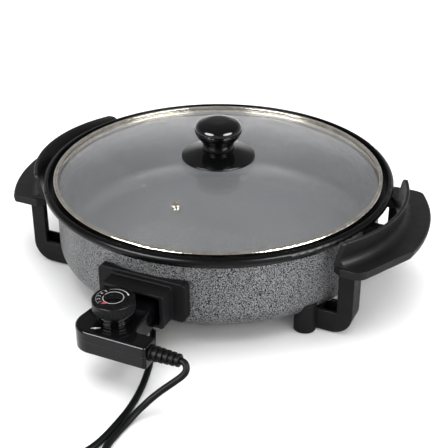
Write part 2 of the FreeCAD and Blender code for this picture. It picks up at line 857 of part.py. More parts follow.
def front_leg(side, peg_y):
    """A front leg in the right-hand place, with its peg at a distance in front of the axis."""
    outer, inner, wall = leg_outer_x, leg_inner_x, s.leg_wall
    near, far = s.leg_front_y - s.leg_depth, s.leg_front_y
    shape = front_plate(
        f"{side}_leg_shape",
        [
            (outer, wing_bottom),
            (inner, wing_bottom),
            (inner, s.bar_top, 2),
            (peg_x, s.bar_top),
            (peg_x, s.leg_bottom),
            (outer, s.leg_bottom, s.leg_corner),
        ],
        near,
        far,
    )
    peg_side = peg_x + s.peg_radius + wall
    channel = front_plate(
        f"{side}_leg_channel",
        [
            (outer - wall, s.bar_top + 1),
            (peg_side, s.bar_top + 1),
            (peg_side, s.leg_bottom + wall, 1),
            (outer - wall, s.leg_bottom + wall, s.leg_corner - wall),
        ],
        near + s.leg_back_wall,
        far - wall,
    )
    angle_space = front_plate(
        f"{side}_leg_angle_space",
        [
            (outer - wall, wing_bottom - s.leg_head_plate, 1),
            (inner - 20, wing_bottom - s.leg_head_plate),
            (inner - 20, s.bar_top),
            (outer - wall, s.bar_top),
        ],
        near - 1,
        far - wall,
    )
    hollow_leg = cut(f"{side}_leg_angle", shape, channel, angle_space)
    peg = rod(f"{side}_leg_peg", s.peg_radius, s.peg_height, peg_x, -peg_y, s.peg_bottom)
    boss_space = rod(f"{side}_leg_boss_space", s.boss_radius + s.pan_clearance, s.boss_depth, peg_x, -peg_y, seat_z)
    recess = rod(f"{side}_foot_recess_space", s.foot_radius + 0.1, s.foot_recess, peg_x, -peg_y, s.peg_bottom)
    sink = rod(f"{side}_leg_screw_sink", s.screw_head_radius + 0.4, s.leg_screw_seat - s.peg_bottom, peg_x, -peg_y, s.peg_bottom)
    hole = rod(f"{side}_leg_screw_hole", s.screw_radius + s.screw_clearance, 40, peg_x, -peg_y, 0.0)
    top_hole = rod(f"{side}_handle_screw_hole", s.screw_radius + s.screw_clearance, 10, handle_screw_x, -s.handle_screw_y, wing_bottom - 8)
    blank = fuse(f"{side}_leg_blank", hollow_leg, peg)
    return cut(f"{side}_leg_cut", blank, pan_envelope(side), boss_space, recess, sink, hole, top_hole)


def make_legs():
    right = front_leg("right", s.peg_y_right)
    left = mirrored("leg_front_left_mirror", front_leg("left", s.peg_y_left), (1, 0, 0))
    for name, leg in (("right", right), ("left", left)):
        node(f"leg_front_{name}", leg)
        node(f"leg_back_{name}", mirrored(f"leg_back_{name}_mirror", leg, (0, 1, 0)))


def make_feet_and_screws():
    feet, leg_screws, handle_screws = [], [], []
    for i, (sx, sy, x, y) in enumerate(CORNERS):
        pad = turned(
            f"foot_{i}",
            [(0, 0), (s.foot_radius, 0, 0.6), (s.foot_radius, s.peg_bottom + s.foot_recess), (0, s.peg_bottom + s.foot_recess)],
        )
        feet.append(at(pad, x, y))
        leg_screws.append(
            screw(
                f"leg_screw_{i}", s.screw_radius, s.screw_head_radius, s.screw_head, seat_z - s.leg_screw_seat + 8,
                x, y, s.leg_screw_seat,
            )
        )
        handle_screws.append(
            screw(
                f"handle_screw_{i}", s.screw_radius, s.screw_head_radius, s.screw_head, s.handle_screw_length,
                sx * handle_screw_x, sy * s.handle_screw_y, wing_bottom - s.leg_head_plate,
            )
        )
    for name, foot in zip(("foot_front_left", "foot_front_right", "foot_back_left", "foot_back_right"), feet):
        node(name, foot)
    node("leg_screws", group("leg_screw_set", *leg_screws))
    node("handle_screws", group("handle_screw_set", *handle_screws))


# Lid


def glass_point(radius):
    """Height of the glass's upper face at a radius, and its slope in degrees."""
    sphere = glass_sphere.value
    height = s.lid_top.value - sphere + math.sqrt(sphere**2 - radius**2)
    return height, math.degrees(math.asin(radius / sphere))


def make_lid():
    centre_z = s.lid_top - glass_sphere
    outer = ball("glass_outer", glass_sphere, centre_z)
    inner = ball("glass_inner", glass_sphere - s.glass_thick, centre_z)
    disc = rod("glass_disc", glass_radius, 60, z=s.lid_top - 50)
    blank = common("glass_cap", cut("glass_shell", outer, inner), disc)
    centre_hole = rod("glass_knob_hole", s.glass_hole_radius, 60, z=s.lid_top - 40)
    turn = math.radians(s.vent_turn.value)
    spot = Vector(math.cos(turn), math.sin(turn), 0) * s.vent_radius.value
    height, slope = glass_point(s.vent_radius.value)
    tilt = Vector(-math.sin(turn), math.cos(turn), 0)
    upright = FreeCAD.Rotation(tilt, slope).multVec(Vector(0, 0, 1))
    below = Vector(spot.x, spot.y, height) - upright * 10
    vent_hole = rod("glass_vent_hole", s.vent_barrel_radius + 0.1, 20, *below, tuple(tilt), slope)
    glass = cut("glass_cut", blank, centre_hole, vent_hole)
    node("lid_glass", glass)

    lip = band_radius - s.band_lip
    foot = band_radius - s.band_foot_width
    ring = turned(
        "band_ring",
        [
            (foot, band_bottom, 0.6),
            (band_radius, band_bottom, 0.6),
            (band_radius, s.band_top, 1.2),
            (lip, s.band_top, 0.5),
            (lip, s.band_top - 7.2, 0.5),
            (foot, s.band_top - 8.6),
        ],
    )
    node("lid_band", cut("band_cut", ring, glass))

    flange, thick = s.vent_flange_radius, s.vent_flange_thick
    depth = s.glass_thick + 0.1
    grommet = turned(
        "vent_eyelet",
        [
            (s.vent_hole_radius, thick),
            (flange, thick, thick * 0.6),
            (flange, 0),
            (s.vent_barrel_radius, 0),
            (s.vent_barrel_radius, -depth),
            (flange * 0.9, -depth),
            (flange * 0.9, -depth - thick, thick * 0.4),
            (s.vent_hole_radius, -depth - thick),
        ],
    )
    at(grommet, spot.x, spot.y, height + 0.05, (tilt.x, tilt.y, 0), slope)
    node("vent_grommet", grommet)


def make_knob():
    radius, edge = s.knob_plate_radius, s.knob_plate_edge
    base = knob_plate_z
    plate_body = turned(
        "knob_plate_section",
        [
            (s.knob_bore + 0.3, base + 1.6),
            (radius - 3, base + 1.2),
            (radius - 2.2, base),
            (radius, base, 0.8),
            (radius, base + edge, 0.9),
            (s.knob_neck_radius + 1.5, knob_z - 0.4, 2),
            (s.knob_neck_radius + 1.2, knob_z),
            (s.knob_bore + 0.3, knob_z),
        ],
    )
    node("knob_plate", plate_body)
    neck, cap = s.knob_neck_radius, s.knob_cap_radius
    top = knob_z + s.knob_height
    knob = turned(
        "knob_section",
        [
            (0, knob_z + s.knob_bore_depth),
            (s.knob_bore, knob_z + s.knob_bore_depth),
            (s.knob_bore, knob_z),
            (neck, knob_z, 1),
            (neck, knob_z + s.knob_neck_height, 5),
            (cap - 3.5, knob_z + s.knob_neck_height + 7.5, 9),
            (cap + 3, top - 6.5, 9),
            (cap * 0.53, top - 0.3, 28),
            (0, top),
        ],
    )
    node("lid_knob", knob)
    under_glass = s.lid_top - s.glass_thick
    ring = turned(
        "washer_section",
        [
            (s.knob_bore + 0.1, under_glass - s.knob_washer_thick - 0.1),
            (s.knob_washer_radius, under_glass - s.knob_washer_thick - 0.1, 0.3),
            (s.knob_washer_radius, under_glass - 0.1, 0.3),
            (s.knob_bore + 0.1, under_glass - 0.1),
        ],
    )
    node("knob_washer", ring)
    upper = turned(
        "spacer_section",
        [
            (s.knob_bore + 0.1, s.lid_top),
            (s.knob_washer_radius, s.lid_top),
            (s.knob_washer_radius, base + 1.5),
            (s.knob_bore + 0.1, base + 1.5),
        ],
    )
    node("knob_spacer", upper)
    node(
        "knob_screw",
        screw(
            "knob_screw_solid", s.knob_bore - 0.1, s.knob_screw_head_radius, s.knob_screw_head, s.knob_screw_length,
            0.0, 0.0, under_glass - s.knob_washer_thick - 0.1,
        ),
    )


# Thermostat plug housing: two shells that meet at a level joint


def housing_outline(inset):
    """Plan of the housing, drawn inward by an inset."""
    corner = s.housing_small_corner - inset * 0.5
    return [
        (-(s.housing_nose_left - inset), -(housing_nose_y + inset)),
        (s.housing_nose_right - inset, -(housing_nose_y + inset)),
        (s.housing_neck_right - inset, -(housing_arm_y + inset), s.housing_elbow + inset),
        (s.housing_arm_x - inset, -(housing_arm_y + inset), corner),
        (s.housing_arm_x - inset, -(housing_front_y - inset), corner),
        (-(s.housing_left_x - inset), -(housing_front_y - inset), s.housing_big_corner - inset),
    ]


HOUSING_POSTS = (
    (s.post_left_inset - s.housing_left_x, s.post_front_inset - housing_front_y),
    (s.housing_arm_x - s.post_right_inset, s.post_front_inset - housing_front_y),
    (s.housing_neck_right - s.post_neck_inset, s.post_neck_back - housing_arm_y),
)


def make_housing():
    wall = s.housing_wall
    upper = rounded_top(
        slab("upper_outer", housing_outline(Size.of(0)), s.housing_split, s.housing_top), s.housing_top - s.housing_split, s.housing_edge_round
    )
    lower = slab("lower_outer", housing_outline(Size.of(0)), s.housing_bottom, s.housing_split)
    upper_space = slab("upper_inner", housing_outline(wall), s.housing_split - 1, s.housing_top - wall)
    lower_space = slab("lower_inner", housing_outline(wall), s.housing_bottom + wall, s.housing_split + 1)
    boss = rod("dial_boss", s.dial_boss_radius, s.dial_boss_height + wall, 0.0, -dial_y, s.housing_top - wall)
    bush_hole = rod("bush_hole", s.bush_radius + 0.1, 20, 0.0, -dial_y, s.housing_top - 10)
    relief_hole = rod(
        "relief_hole", s.relief_neck_radius + 0.1, 14, s.housing_arm_x - 8, -relief_y, s.relief_z, (0, 1, 0), 90
    )
    nose = housing_nose_y
    openings = [
        rod_y(f"contact_hole_{i}", s.pin_radius + 0.5, side * s.element_end_x, s.probe_z, nose - 1, nose + wall + 1)
        for i, side in enumerate((-1, 1))
    ] + [rod_y("probe_exit", s.probe_radius + 0.05, 0.0, s.probe_z, nose - 1, nose + wall + 1)]
    lens_space = slab("lens_window", lens_outline(1 + LENS_WINDOW_SHARE), s.housing_top - wall - 1, s.housing_top + 1)
    posts_up = [
        rod(f"upper_post_{i}", s.post_radius, s.housing_top - wall * 0.5 - s.housing_split, x, y, s.housing_split)
        for i, (x, y) in enumerate(HOUSING_POSTS)
    ]
    posts_down = [
        rod(f"lower_post_{i}", s.post_radius, s.housing_split - s.housing_bottom - 0.5, x, y, s.housing_bottom + 0.5)
        for i, (x, y) in enumerate(HOUSING_POSTS)
    ]
    thread_holes = [
        rod(f"upper_thread_{i}", s.housing_screw_radius + 0.02, 8, x, y, s.housing_split - 1)
        for i, (x, y) in enumerate(HOUSING_POSTS)
    ]
    pass_holes = [
        rod(f"lower_pass_{i}", s.housing_screw_radius + s.screw_clearance, 30, x, y, s.housing_bottom - 5)
        for i, (x, y) in enumerate(HOUSING_POSTS)
    ]
    sinks = [
        rod(f"screw_sink_{i}", s.housing_screw_head_radius + 0.2, s.housing_screw_head + 1.2, x, y, s.housing_bottom - 1)
        for i, (x, y) in enumerate(HOUSING_POSTS)
    ]
    upper_shell = cut("upper_shell", fuse("upper_blank", upper, boss), upper_space)
    lower_shell = cut("lower_shell", lower, lower_space)
    node(
        "thermostat_cover_upper",
        cut("upper_cut", fuse("upper_with_posts", upper_shell, *posts_up), bush_hole, lens_space, relief_hole, *openings, *thread_holes),
    )
    node(
        "thermostat_cover_lower",
        cut("lower_cut", fuse("lower_with_posts", lower_shell, *posts_down), relief_hole, *openings, *pass_holes, *sinks),
    )
    screws = [
        screw(
            f"housing_screw_{i}", s.housing_screw_radius, s.housing_screw_head_radius, s.housing_screw_head, 14,
            x, y, s.housing_bottom + s.housing_screw_head + 0.2,
        )
        for i, (x, y) in enumerate(HOUSING_POSTS)
    ]
    node("housing_screws", group("housing_screw_set", *screws))


def lens_outline(scale):
    """Plan of the small pointer lens: a slanted leaf about its own middle."""
    long, wide = s.lens_half_length * scale, s.lens_half_width * scale
    x, y = -s.lens_x, -lens_y
    return [(x - long, y - wide * 1.4), (x + wide * 0.2, y - wide), (x + long, y + wide * 1.6), (x - wide * 0.6, y + wide * 0.6)]


def make_lens_and_lamp():
    node("pilot_lens", slab("lens_leaf", lens_outline(1), s.housing_top - s.housing_wall, s.housing_top + s.lens_proud))
    lamp = rod(
        "lamp_capsule", s.lamp_radius, s.lamp_length, -s.lens_x - s.lamp_length / 2, -lens_y,
        s.housing_top - s.housing_wall - s.lamp_radius, (0, 1, 0), 90,
    )
    node("pilot_lamp", lamp)


# Thermostat works inside the housing


def make_works():
    split = s.probe_z
    tubes = []
    for i, side in enumerate((-1, 1)):
        outer = rod_y(
            f"contact_tube_{i}", s.contact_outer_radius, side * s.element_end_x, split,
            housing_nose_y + s.housing_wall, housing_nose_y + s.housing_wall + s.contact_length,
        )
        inner = rod_y(
            f"contact_bore_{i}", s.pin_radius + s.contact_gap, side * s.element_end_x, split, housing_nose_y, pin_reach + 3
        )
        tubes.append(cut(f"contact_{i}", outer, inner))
    node("plug_contacts", group("plug_contact_pair", *tubes))
    tip = sensor_boss_y - s.sensor_bore_depth + 0.3
    probe = rod_y("probe_tube", s.probe_radius, 0.0, split, tip, probe_tail_y)
    node("sensor_probe", probe)
    frame_base = box(
        "frame_base",
        (-s.frame_half_width, s.frame_half_width),
        (-frame_rear_y, -(probe_tail_y - 8)),
        (s.frame_z, s.frame_z + s.frame_thick),
    )
    clamp_wall = box(
        "frame_clamp",
        (-s.frame_half_width, s.frame_half_width),
        (-probe_tail_y + 0.0, -(probe_tail_y - s.frame_thick)),
        (s.frame_z, split + 5),
    )
    probe_seat = rod_y("frame_probe_hole", s.probe_radius + 0.02, 0.0, split, probe_tail_y - 5, probe_tail_y + 5)
    spindle_hole = rod("frame_spindle_hole", s.spindle_radius + 0.4, 10, 0.0, -dial_y, s.frame_z - 3)
    frame = cut("frame_cut", fuse("frame_blank", frame_base, clamp_wall), probe_seat, spindle_hole)
    node("thermostat_frame", frame)
    rest = [
        rod(f"frame_rest_{i}", 2.2, s.frame_z - s.housing_bottom - s.housing_wall, x, -frame_rear_y + 3, s.housing_bottom + s.housing_wall)
        for i, x in enumerate((-5.0, 5.0))
    ]
    node("frame_rivets", group("frame_rivet_pair", *rest))
    stack_y = -frame_rear_y + 4.5
    stack = rod("stack_column", s.stack_radius, s.stack_height, 0.0, stack_y, s.frame_z + s.frame_thick)
    node("insulator_stack", stack)
    blade_z = s.frame_z + s.frame_thick + s.stack_height
    blades = box(
        "contact_blade_strip", (-s.blade_half_width, s.blade_half_width), (stack_y - s.stack_radius, -(dial_y - s.spindle_radius * 2)),
        (blade_z, blade_z + s.blade_thick),
    )
    blade_hole = rod("blade_spindle_hole", s.spindle_radius + 0.5, 10, 0.0, -dial_y, blade_z - 4)
    node("contact_blade", cut("contact_blade_cut", blades, blade_hole))
    bush = turned(
        "bush_section",
        [
            (s.spindle_radius + s.spindle_gap, 0),
            (s.bush_radius + 2, 0),
            (s.bush_radius + 2, 1.5),
            (s.bush_radius, 1.5),
            (s.bush_radius, s.bush_height),
            (s.spindle_radius + s.spindle_gap, s.bush_height),
        ],
    )
    at(bush, 0.0, -dial_y, s.housing_top - s.housing_wall - 1.5)
    node("spindle_bush", bush)


# Dial: a ribbed cap on stepped rings, turning with its spindle


def make_dial():
    top, grip = s.dial_top, s.dial_grip_bottom
    low = s.housing_top + s.dial_boss_height + s.dial_gap
    neck, middle, ring = s.dial_neck_radius, s.dial_middle_radius, s.dial_ring_radius
    step = (grip - low) / 4
    cap = turned(
        "dial_section",
        [
            (0, low + 3),
            (neck - 4, low + 3),
            (neck - 4, low),
            (neck, low, 0.5),
            (neck, low + step),
            (middle, low + step * 1.3),
            (middle, low + step * 2.2),
            (ring, low + step * 2.6),
            (ring, grip - 0.8),
            (s.dial_radius, grip, 0.5),
            (s.dial_radius, top, 1.4),
            (s.dial_grip_half_length + 3, top),
            (s.dial_grip_half_length + 2.4, top - 0.6),
            (0, top - 0.6),
        ],
    )
    at(cap, 0.0, -dial_y)
    long, wide = s.dial_grip_half_length, s.dial_grip_half_width
    grip_bar = at(
        plate(
            "dial_grip",
            "XY_Plane",
            [(-long, -wide, wide * 0.98), (long, -wide, wide * 0.98), (long, wide, wide * 0.98), (-long, wide, wide * 0.98)],
            s.dial_grip_height + 1,
        ),
        0.0,
        -dial_y,
        top - 1,
        (0, 0, 1),
        20,
    )
    socket = rod("dial_bore", s.spindle_radius, 10, 0.0, -dial_y, low)
    node("dial", cut("dial_cut", fuse("dial_blank", cap, grip_bar), socket))
    shaft_top = low + 10
    shaft = rod("spindle_shaft", s.spindle_radius, shaft_top - s.spindle_bottom, 0.0, -dial_y, s.spindle_bottom)
    node("dial_spindle", shaft)


# Strain relief, cord, coil, tie and mains plug


def make_relief():
    """A ribbed, tapered sleeve along +X from inside the housing's end wall."""
    wall_x = s.housing_arm_x
    neck, thick = s.relief_neck_radius, s.relief_flange_thick
    inside = wall_x - s.housing_wall
    root, tip = s.relief_root_radius, s.relief_tip_radius
    outline = [
        (0, inside - thick - wall_x),
        (s.relief_flange_radius, inside - thick - wall_x),
        (s.relief_flange_radius, inside - wall_x),
        (neck, inside - wall_x),
        (neck, 0.05),
        (root + 0.4, 0.05, 0.4),
        (root + 0.4, 2.4, 0.4),
    ]
    start = 2.4
    for i in range(RELIEF_RIBS):
        share = i / (RELIEF_RIBS - 1)
        radius = root * (1 - share) + tip * share
        groove = radius - s.rib_groove
        first = Size.of(start) + s.rib_pitch * i + (s.rib_pitch - s.rib_width)
        outline += [
            (groove, Size.of(start) + s.rib_pitch * i),
            (groove, first),
            (radius, first, 0.5),
            (radius, first + s.rib_width, 0.5),
        ]
    last = Size.of(start) + s.rib_pitch * RELIEF_RIBS
    outline[-1] = (tip, last, 1.2)
    outline += [(0, last)]
    sleeve = at(turned("relief_section", outline), wall_x, -relief_y, s.relief_z, (0, 1, 0), 90)
    node("strain_relief", sleeve)


def arc_between(start, corner, end):
    """The arc that is tangent to both legs of an even-legged corner."""
    chord = (start + end) / 2
    out = corner - chord
    half = (end - start).Length / 2
    lift = half * math.tan(math.atan2(out.Length, half) / 2)
    return Part.Arc(start, chord + out.normalize() * lift, end).toShape()


def cord_tube(points, label):
    """A tube along straight runs that tangent arcs join; prints its arcs' radii."""
    radius = s.cord_radius.value
    edges, radii, here = [], [], points[0]
    for before, corner, after in zip(points, points[1:], points[2:]):
        back, ahead = before - corner, after - corner
        reach = 0.45 * min(back.Length, ahead.Length)
        first = corner + back.normalize() * reach
        second = corner + ahead.normalize() * reach
        radii.append(reach * math.tan(back.getAngle(ahead) / 2))
        if (first - here).Length > 1e-6:
            edges.append(Part.LineSegment(here, first).toShape())
        edges.append(arc_between(first, corner, second))
        here = second
    edges.append(Part.LineSegment(here, points[-1]).toShape())
    path = Part.Wire(edges)
    direction = points[1] - points[0]
    section = Part.Wire(Part.Circle(points[0], direction, radius).toShape())
    tube = path.makePipeShell([section], True, False)
    share = tube.Volume / (math.pi * radius**2 * path.Length)
    print(f"{label}: length {path.Length:.1f}, volume share {share:.4f}, radii", [round(r, 1) for r in radii])
    return tube, path.Length


def relief_end():
    """Where the cord leaves the strain relief."""
    last = s.housing_arm_x.value + 2.4 + s.rib_pitch.value * RELIEF_RIBS
    return Vector(last, -relief_y.value, s.relief_z.value)


def coil_line():
    """Points and directions of the coil every quarter turn: in on the floor, out on top."""
    quarters = 2 * COIL_HALF_TURNS
    climb = range(COIL_HALF_TURNS - 1, COIL_HALF_TURNS + 1)
    centre = Vector(s.coil_x.value, s.coil_y.value, floor_z.value)
    pitch, outer = s.coil_pitch.value, s.coil_outer.value
    places = []
    for i in range(quarters + 1):
        angle = -math.pi / 2 * i
        inward = min(i, quarters - i) / 4 * pitch
        level = min(max((i - climb.start) / (climb.stop - climb.start), 0), 1)
        radius = outer - inward
        side = 1 if i < COIL_HALF_TURNS else -1
        slide = pitch / (2 * math.pi) * side
        if i in (0, COIL_HALF_TURNS, quarters):
            slide = 0.0
        ray = Vector(math.cos(angle), math.sin(angle), 0)
        along = Vector(math.sin(angle), -math.cos(angle), 0) * radius - ray * slide
        if level not in (0, 1):
            along = along + Vector(0, 0, pitch / math.pi)
        places.append((centre + ray * radius + Vector(0, 0, level * pitch), along.normalize()))
    return places


def biarc(start, ahead, end, onward):
    """Two arcs from one place and direction to another."""
    gap = end - start
    both = ahead + onward
    spread = 2 * (1 - ahead.dot(onward))
    along = gap.dot(both)
    reach = (-along + math.sqrt(along**2 + spread * gap.dot(gap))) / spread
    first, second = start + ahead * reach, end - onward * reach
    middle = (first + second) / 2
    return [arc_between(start, first, middle), arc_between(middle, second, end)]


def make_coil():
    """One unbroken tube: loops spiral in on the floor, climb, and spiral out above."""
    places = coil_line()
    radius = s.cord_radius.value
    straight = 2 * radius
    begin, way_in = places[0]
    finish, way_out = places[-1]
    edges = [Part.LineSegment(begin - way_in * straight, begin).toShape()]
    for (start, ahead), (end, onward) in zip(places, places[1:]):
        edges += biarc(start, ahead, end, onward)
    edges.append(Part.LineSegment(finish, finish + way_out * straight).toShape())
    path = Part.Wire(edges)
    section = Part.Wire(Part.Circle(begin - way_in * straight, way_in, radius).toShape())
    tube = path.makePipeShell([section], True, False)
    spots = path.discretize(Distance=2.0)
    apart = min(
        (a - b).Length - 2 * radius
        for i, a in enumerate(spots)
        for b in spots[i + 14 :]
    )
    share = tube.Volume / (math.pi * radius**2 * path.Length)
    print(f"coil: length {path.Length:.1f}, volume share {share:.4f}, least gap to itself {apart:.2f}")
    node("cord_coil", shaped("coil_tube", tube))
    return begin - way_in * straight, finish + way_out * straight, path.Length


def make_cord():
    begin, finish, coil_length = make_coil()
    start = relief_end()
    floor = floor_z.value
    plug = Vector(s.plug_x.value, s.plug_y.value, s.plug_axis_z.value)
    near_route = [
        start,
        start + Vector(2.0, 0.0, 0.0),
        Vector(88.0, -267.7, 52.4),
        Vector(90.2, -268.9, 50.3),
        Vector(91.1, -270.7, 47.3),
        Vector(90.2, -272.7, 44.0),
        Vector(87.1, -275.1, 40.4),
        Vector(82.6, -277.9, 36.4),
        Vector(77.2, -280.8, 31.6),
        Vector(71.0, -283.9, 26.0),
        Vector(64.8, -288.0, 20.0),
        Vector(59.2, -293.6, 14.0),
        Vector(54.5, -300.8, 8.9),
        Vector(51.4, -309.8, 5.4),
        Vector(49.6, -320.8, floor),
        Vector(48.7, -333.6, floor),
        Vector(48.6, -349.0, floor),
        Vector(51.6, -365.5, floor),
        Vector(59.6, -382.5, floor),
        Vector(70.6, -398.6, floor),
        Vector(81.6, -415.0, floor),
        begin + Vector(0.0, 14.0, 0.0),
        begin,
    ]
    far_route = [
        finish,
        finish + Vector(0.0, 14.0, 0.0),
        Vector(6.0, -416.5, 10.4),
        Vector(13.8, -401.6, 7.8),
        Vector(23.6, -387.0, 5.2),
        Vector(32.6, -371.4, floor),
        Vector(39.0, -355.0, floor),
        Vector(41.4, -337.0, floor),
        Vector(42.2, -318.0, floor),
        Vector(42.6, -299.0, floor),
        Vector(40.2, -276.0, floor),
        Vector(34.4, -249.0, floor),
        Vector(24.4, -218.0, floor),
        Vector(9.0, -186.0, floor),
        Vector(-10.0, -150.0, floor),
        Vector(-26.0, -104.0, floor),
        Vector(-36.0, -56.0, floor),
        Vector(-42.0, -6.0, floor),
        Vector(-48.0, 42.0, floor),
        Vector(-57.0, 88.0, floor),
        Vector(-68.0, 127.0, floor),
        Vector(-80.0, 158.0, floor),
        Vector(-90.0, 181.0, floor),
        Vector(-95.0, 196.0, 8.8),
        Vector(-97.4, 212.0, 14.5),
        plug + Vector(0.0, -14.0, 0.0),
        plug,
    ]
    near, near_length = cord_tube(near_route, "cord_near")
    far, far_length = cord_tube(far_route, "cord_far")
    node("power_cord", shaped("cord_near_tube", near))
    node("power_cord_far", shaped("cord_far_tube", far))
    print(f"cord in all: {near_length + coil_length + far_length:.0f}")


def make_tie():
    """A strap round the coil's turns, opposite the cord's ends."""
    pitch, outer, radius = s.coil_pitch.value, s.coil_outer.value, s.cord_radius.value
    turns = COIL_HALF_TURNS / 4
    inner_r = outer - turns * pitch - radius - 0.9
    outer_r = outer + radius + 0.6
    thick, wide = s.tie_thick.value, s.tie_width.value
    low = floor_z.value - radius
    high = low + pitch + 2 * radius + 0.5
    y = s.coil_y.value
    strap = Part.makeBox(wide, outer_r - inner_r + 2 * thick, high - low + thick, Vector(s.coil_x.value - wide / 2, y - outer_r - thick, low))
    hole = Part.makeBox(
        wide + 2, outer_r - inner_r, high - low + 1, Vector(s.coil_x.value - wide / 2 - 1, y - outer_r, low - 1)
    )
    node("cord_tie", shaped("tie_strap", strap.cut(hole)))


def make_mains_plug():
    radius, length = s.plug_radius, s.plug_length
    mould = turned(
        "plug_section",
        [
            (0, 0),
            (s.cord_radius + 1.6, 0, 0.5),
            (s.cord_radius + 3.4, 20, 4),
            (radius * 0.62, 26, 4),
            (radius * 0.9, 38, 8),
            (radius, length - 16, 6),
            (radius, length, 1.5),
            (0, length),
        ],
    )
    at(mould, s.plug_x, s.plug_y, s.plug_axis_z, (1, 0, 0), -90)
    node("mains_plug", mould)
    pins = []
    for i, side in enumerate((-1, 1)):
        pin = turned(
            f"mains_pin_{i}",
            [(0, 0), (s.plug_pin_radius, 0), (s.plug_pin_radius, s.plug_pin_length, 1.2), (0, s.plug_pin_length)],
        )
        pins.append(at(pin, s.plug_x + side * s.plug_pin_spacing / 2, s.plug_y + length, s.plug_axis_z, (1, 0, 0), -90))
    node("mains_plug_pins", group("mains_pin_pair", *pins))


def check_and_write():
    """Stop unless every object is sound, then write one file for each sub-part."""
    doc.recompute()
    for obj in doc.Objects:
        if any(state in ("Invalid", "Error") for state in obj.State):
            raise RuntimeError(f"{obj.Label} ({obj.Name}) is {obj.State}")
    for name, obj in nodes.items():
        if obj.Shape.isNull() or not obj.Shape.isValid():
            raise RuntimeError(f"{name} has no valid shape")
        if not obj.Shape.Solids:
            raise RuntimeError(f"{name} has no solid")
    os.makedirs("parts", exist_ok=True)
    for name, obj in nodes.items():
        obj.Shape.exportStep(f"parts/{name}.step")
        box_of = obj.Shape.BoundBox
        print(f"{name:26s} solids {len(obj.Shape.Solids)}  volume {obj.Shape.Volume / 1000:9.2f} cm3  z {box_of.ZMin:.1f} to {box_of.ZMax:.1f}")


make_pan()
make_element()
make_terminal_pins()
make_socket()
make_handles()
make_legs()
make_feet_and_screws()
make_lid()
make_knob()
make_housing()
make_lens_and_lamp()
make_works()
make_dial()
make_relief()
make_cord()
make_tie()
make_mains_plug()
check_and_write()
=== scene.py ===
"""Looks of a round electric countertop pan with a lift-off glass lid.

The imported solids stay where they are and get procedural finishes. The mains cord and the
dial's printed marks are made here, in metres, in the same frame.
"""

import logging
import math
from collections.abc import Sequence
from dataclasses import dataclass, field
from enum import Enum
from typing import Protocol

import bpy
from mathutils import Matrix, Vector


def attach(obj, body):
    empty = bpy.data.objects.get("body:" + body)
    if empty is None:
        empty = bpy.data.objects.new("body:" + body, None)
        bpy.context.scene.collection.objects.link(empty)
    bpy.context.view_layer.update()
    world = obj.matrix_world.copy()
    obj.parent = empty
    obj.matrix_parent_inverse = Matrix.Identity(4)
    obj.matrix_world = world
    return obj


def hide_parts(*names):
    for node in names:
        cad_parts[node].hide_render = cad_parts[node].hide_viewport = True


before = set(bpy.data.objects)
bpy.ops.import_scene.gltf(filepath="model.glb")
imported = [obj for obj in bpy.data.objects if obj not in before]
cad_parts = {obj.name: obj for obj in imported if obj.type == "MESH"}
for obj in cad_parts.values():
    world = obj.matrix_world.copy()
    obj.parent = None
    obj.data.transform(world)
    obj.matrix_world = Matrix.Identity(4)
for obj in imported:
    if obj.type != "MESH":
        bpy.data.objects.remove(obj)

log = logging.getLogger("pan_scene")
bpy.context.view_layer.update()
MM = 0.001
# Sine of the most that a flat of a turned piece's mesh leans from the true round
LARGEST_FLAT = 0.15
# Rays that find an edge's neighbours where it is rounded in the shading
EDGE_SAMPLES = 6
# The way up, and what keeps a vector's level part alone
UPWARD = (0.0, 0.0, 1.0)
LEVEL = (1.0, 1.0, 0.0)
# Settings that many nodes share: a range with soft ends, and a mix of colours
SOFT = {"interpolation_type": "SMOOTHSTEP"}
COLOUR = {"data_type": "RGBA"}


def linear(hex_colour: str, alpha: float = 1.0) -> tuple[float, float, float, float]:
    """Convert an sRGB hex colour to the linear colour that shader nodes take.

    Args:
        hex_colour: A colour such as "#2b2b2d".
        alpha: The fourth component.

    Returns:
        Linear red, green, blue and alpha.
    """
    values = (int(hex_colour[i : i + 2], 16) / 255 for i in (1, 3, 5))
    return (*(v / 12.92 if v <= 0.04045 else ((v + 0.055) / 1.055) ** 2.4 for v in values), alpha)


class Zone(Enum):
    """Parts of the pan that one solid holds and three finishes cover."""

    OUTSIDE = "outside"
    RIM = "rim"
    INSIDE = "inside"


class Slot(Enum):
    """Material slots of the record for the pieces made here; the script does not assign them."""

    CORD = "cord_rubber"
    DIAL = "dial_plastic"


class LampShape(Enum):
    """Outlines that a soft light can have."""

    RECTANGLE = "RECTANGLE"
    ELLIPSE = "ELLIPSE"


class Finish(Protocol):
    """What every finish offers: a name and a way to build its material."""

    @property
    def name(self) -> str:
        """The material's name."""

    def build(self) -> bpy.types.Material:
        """Make the material."""


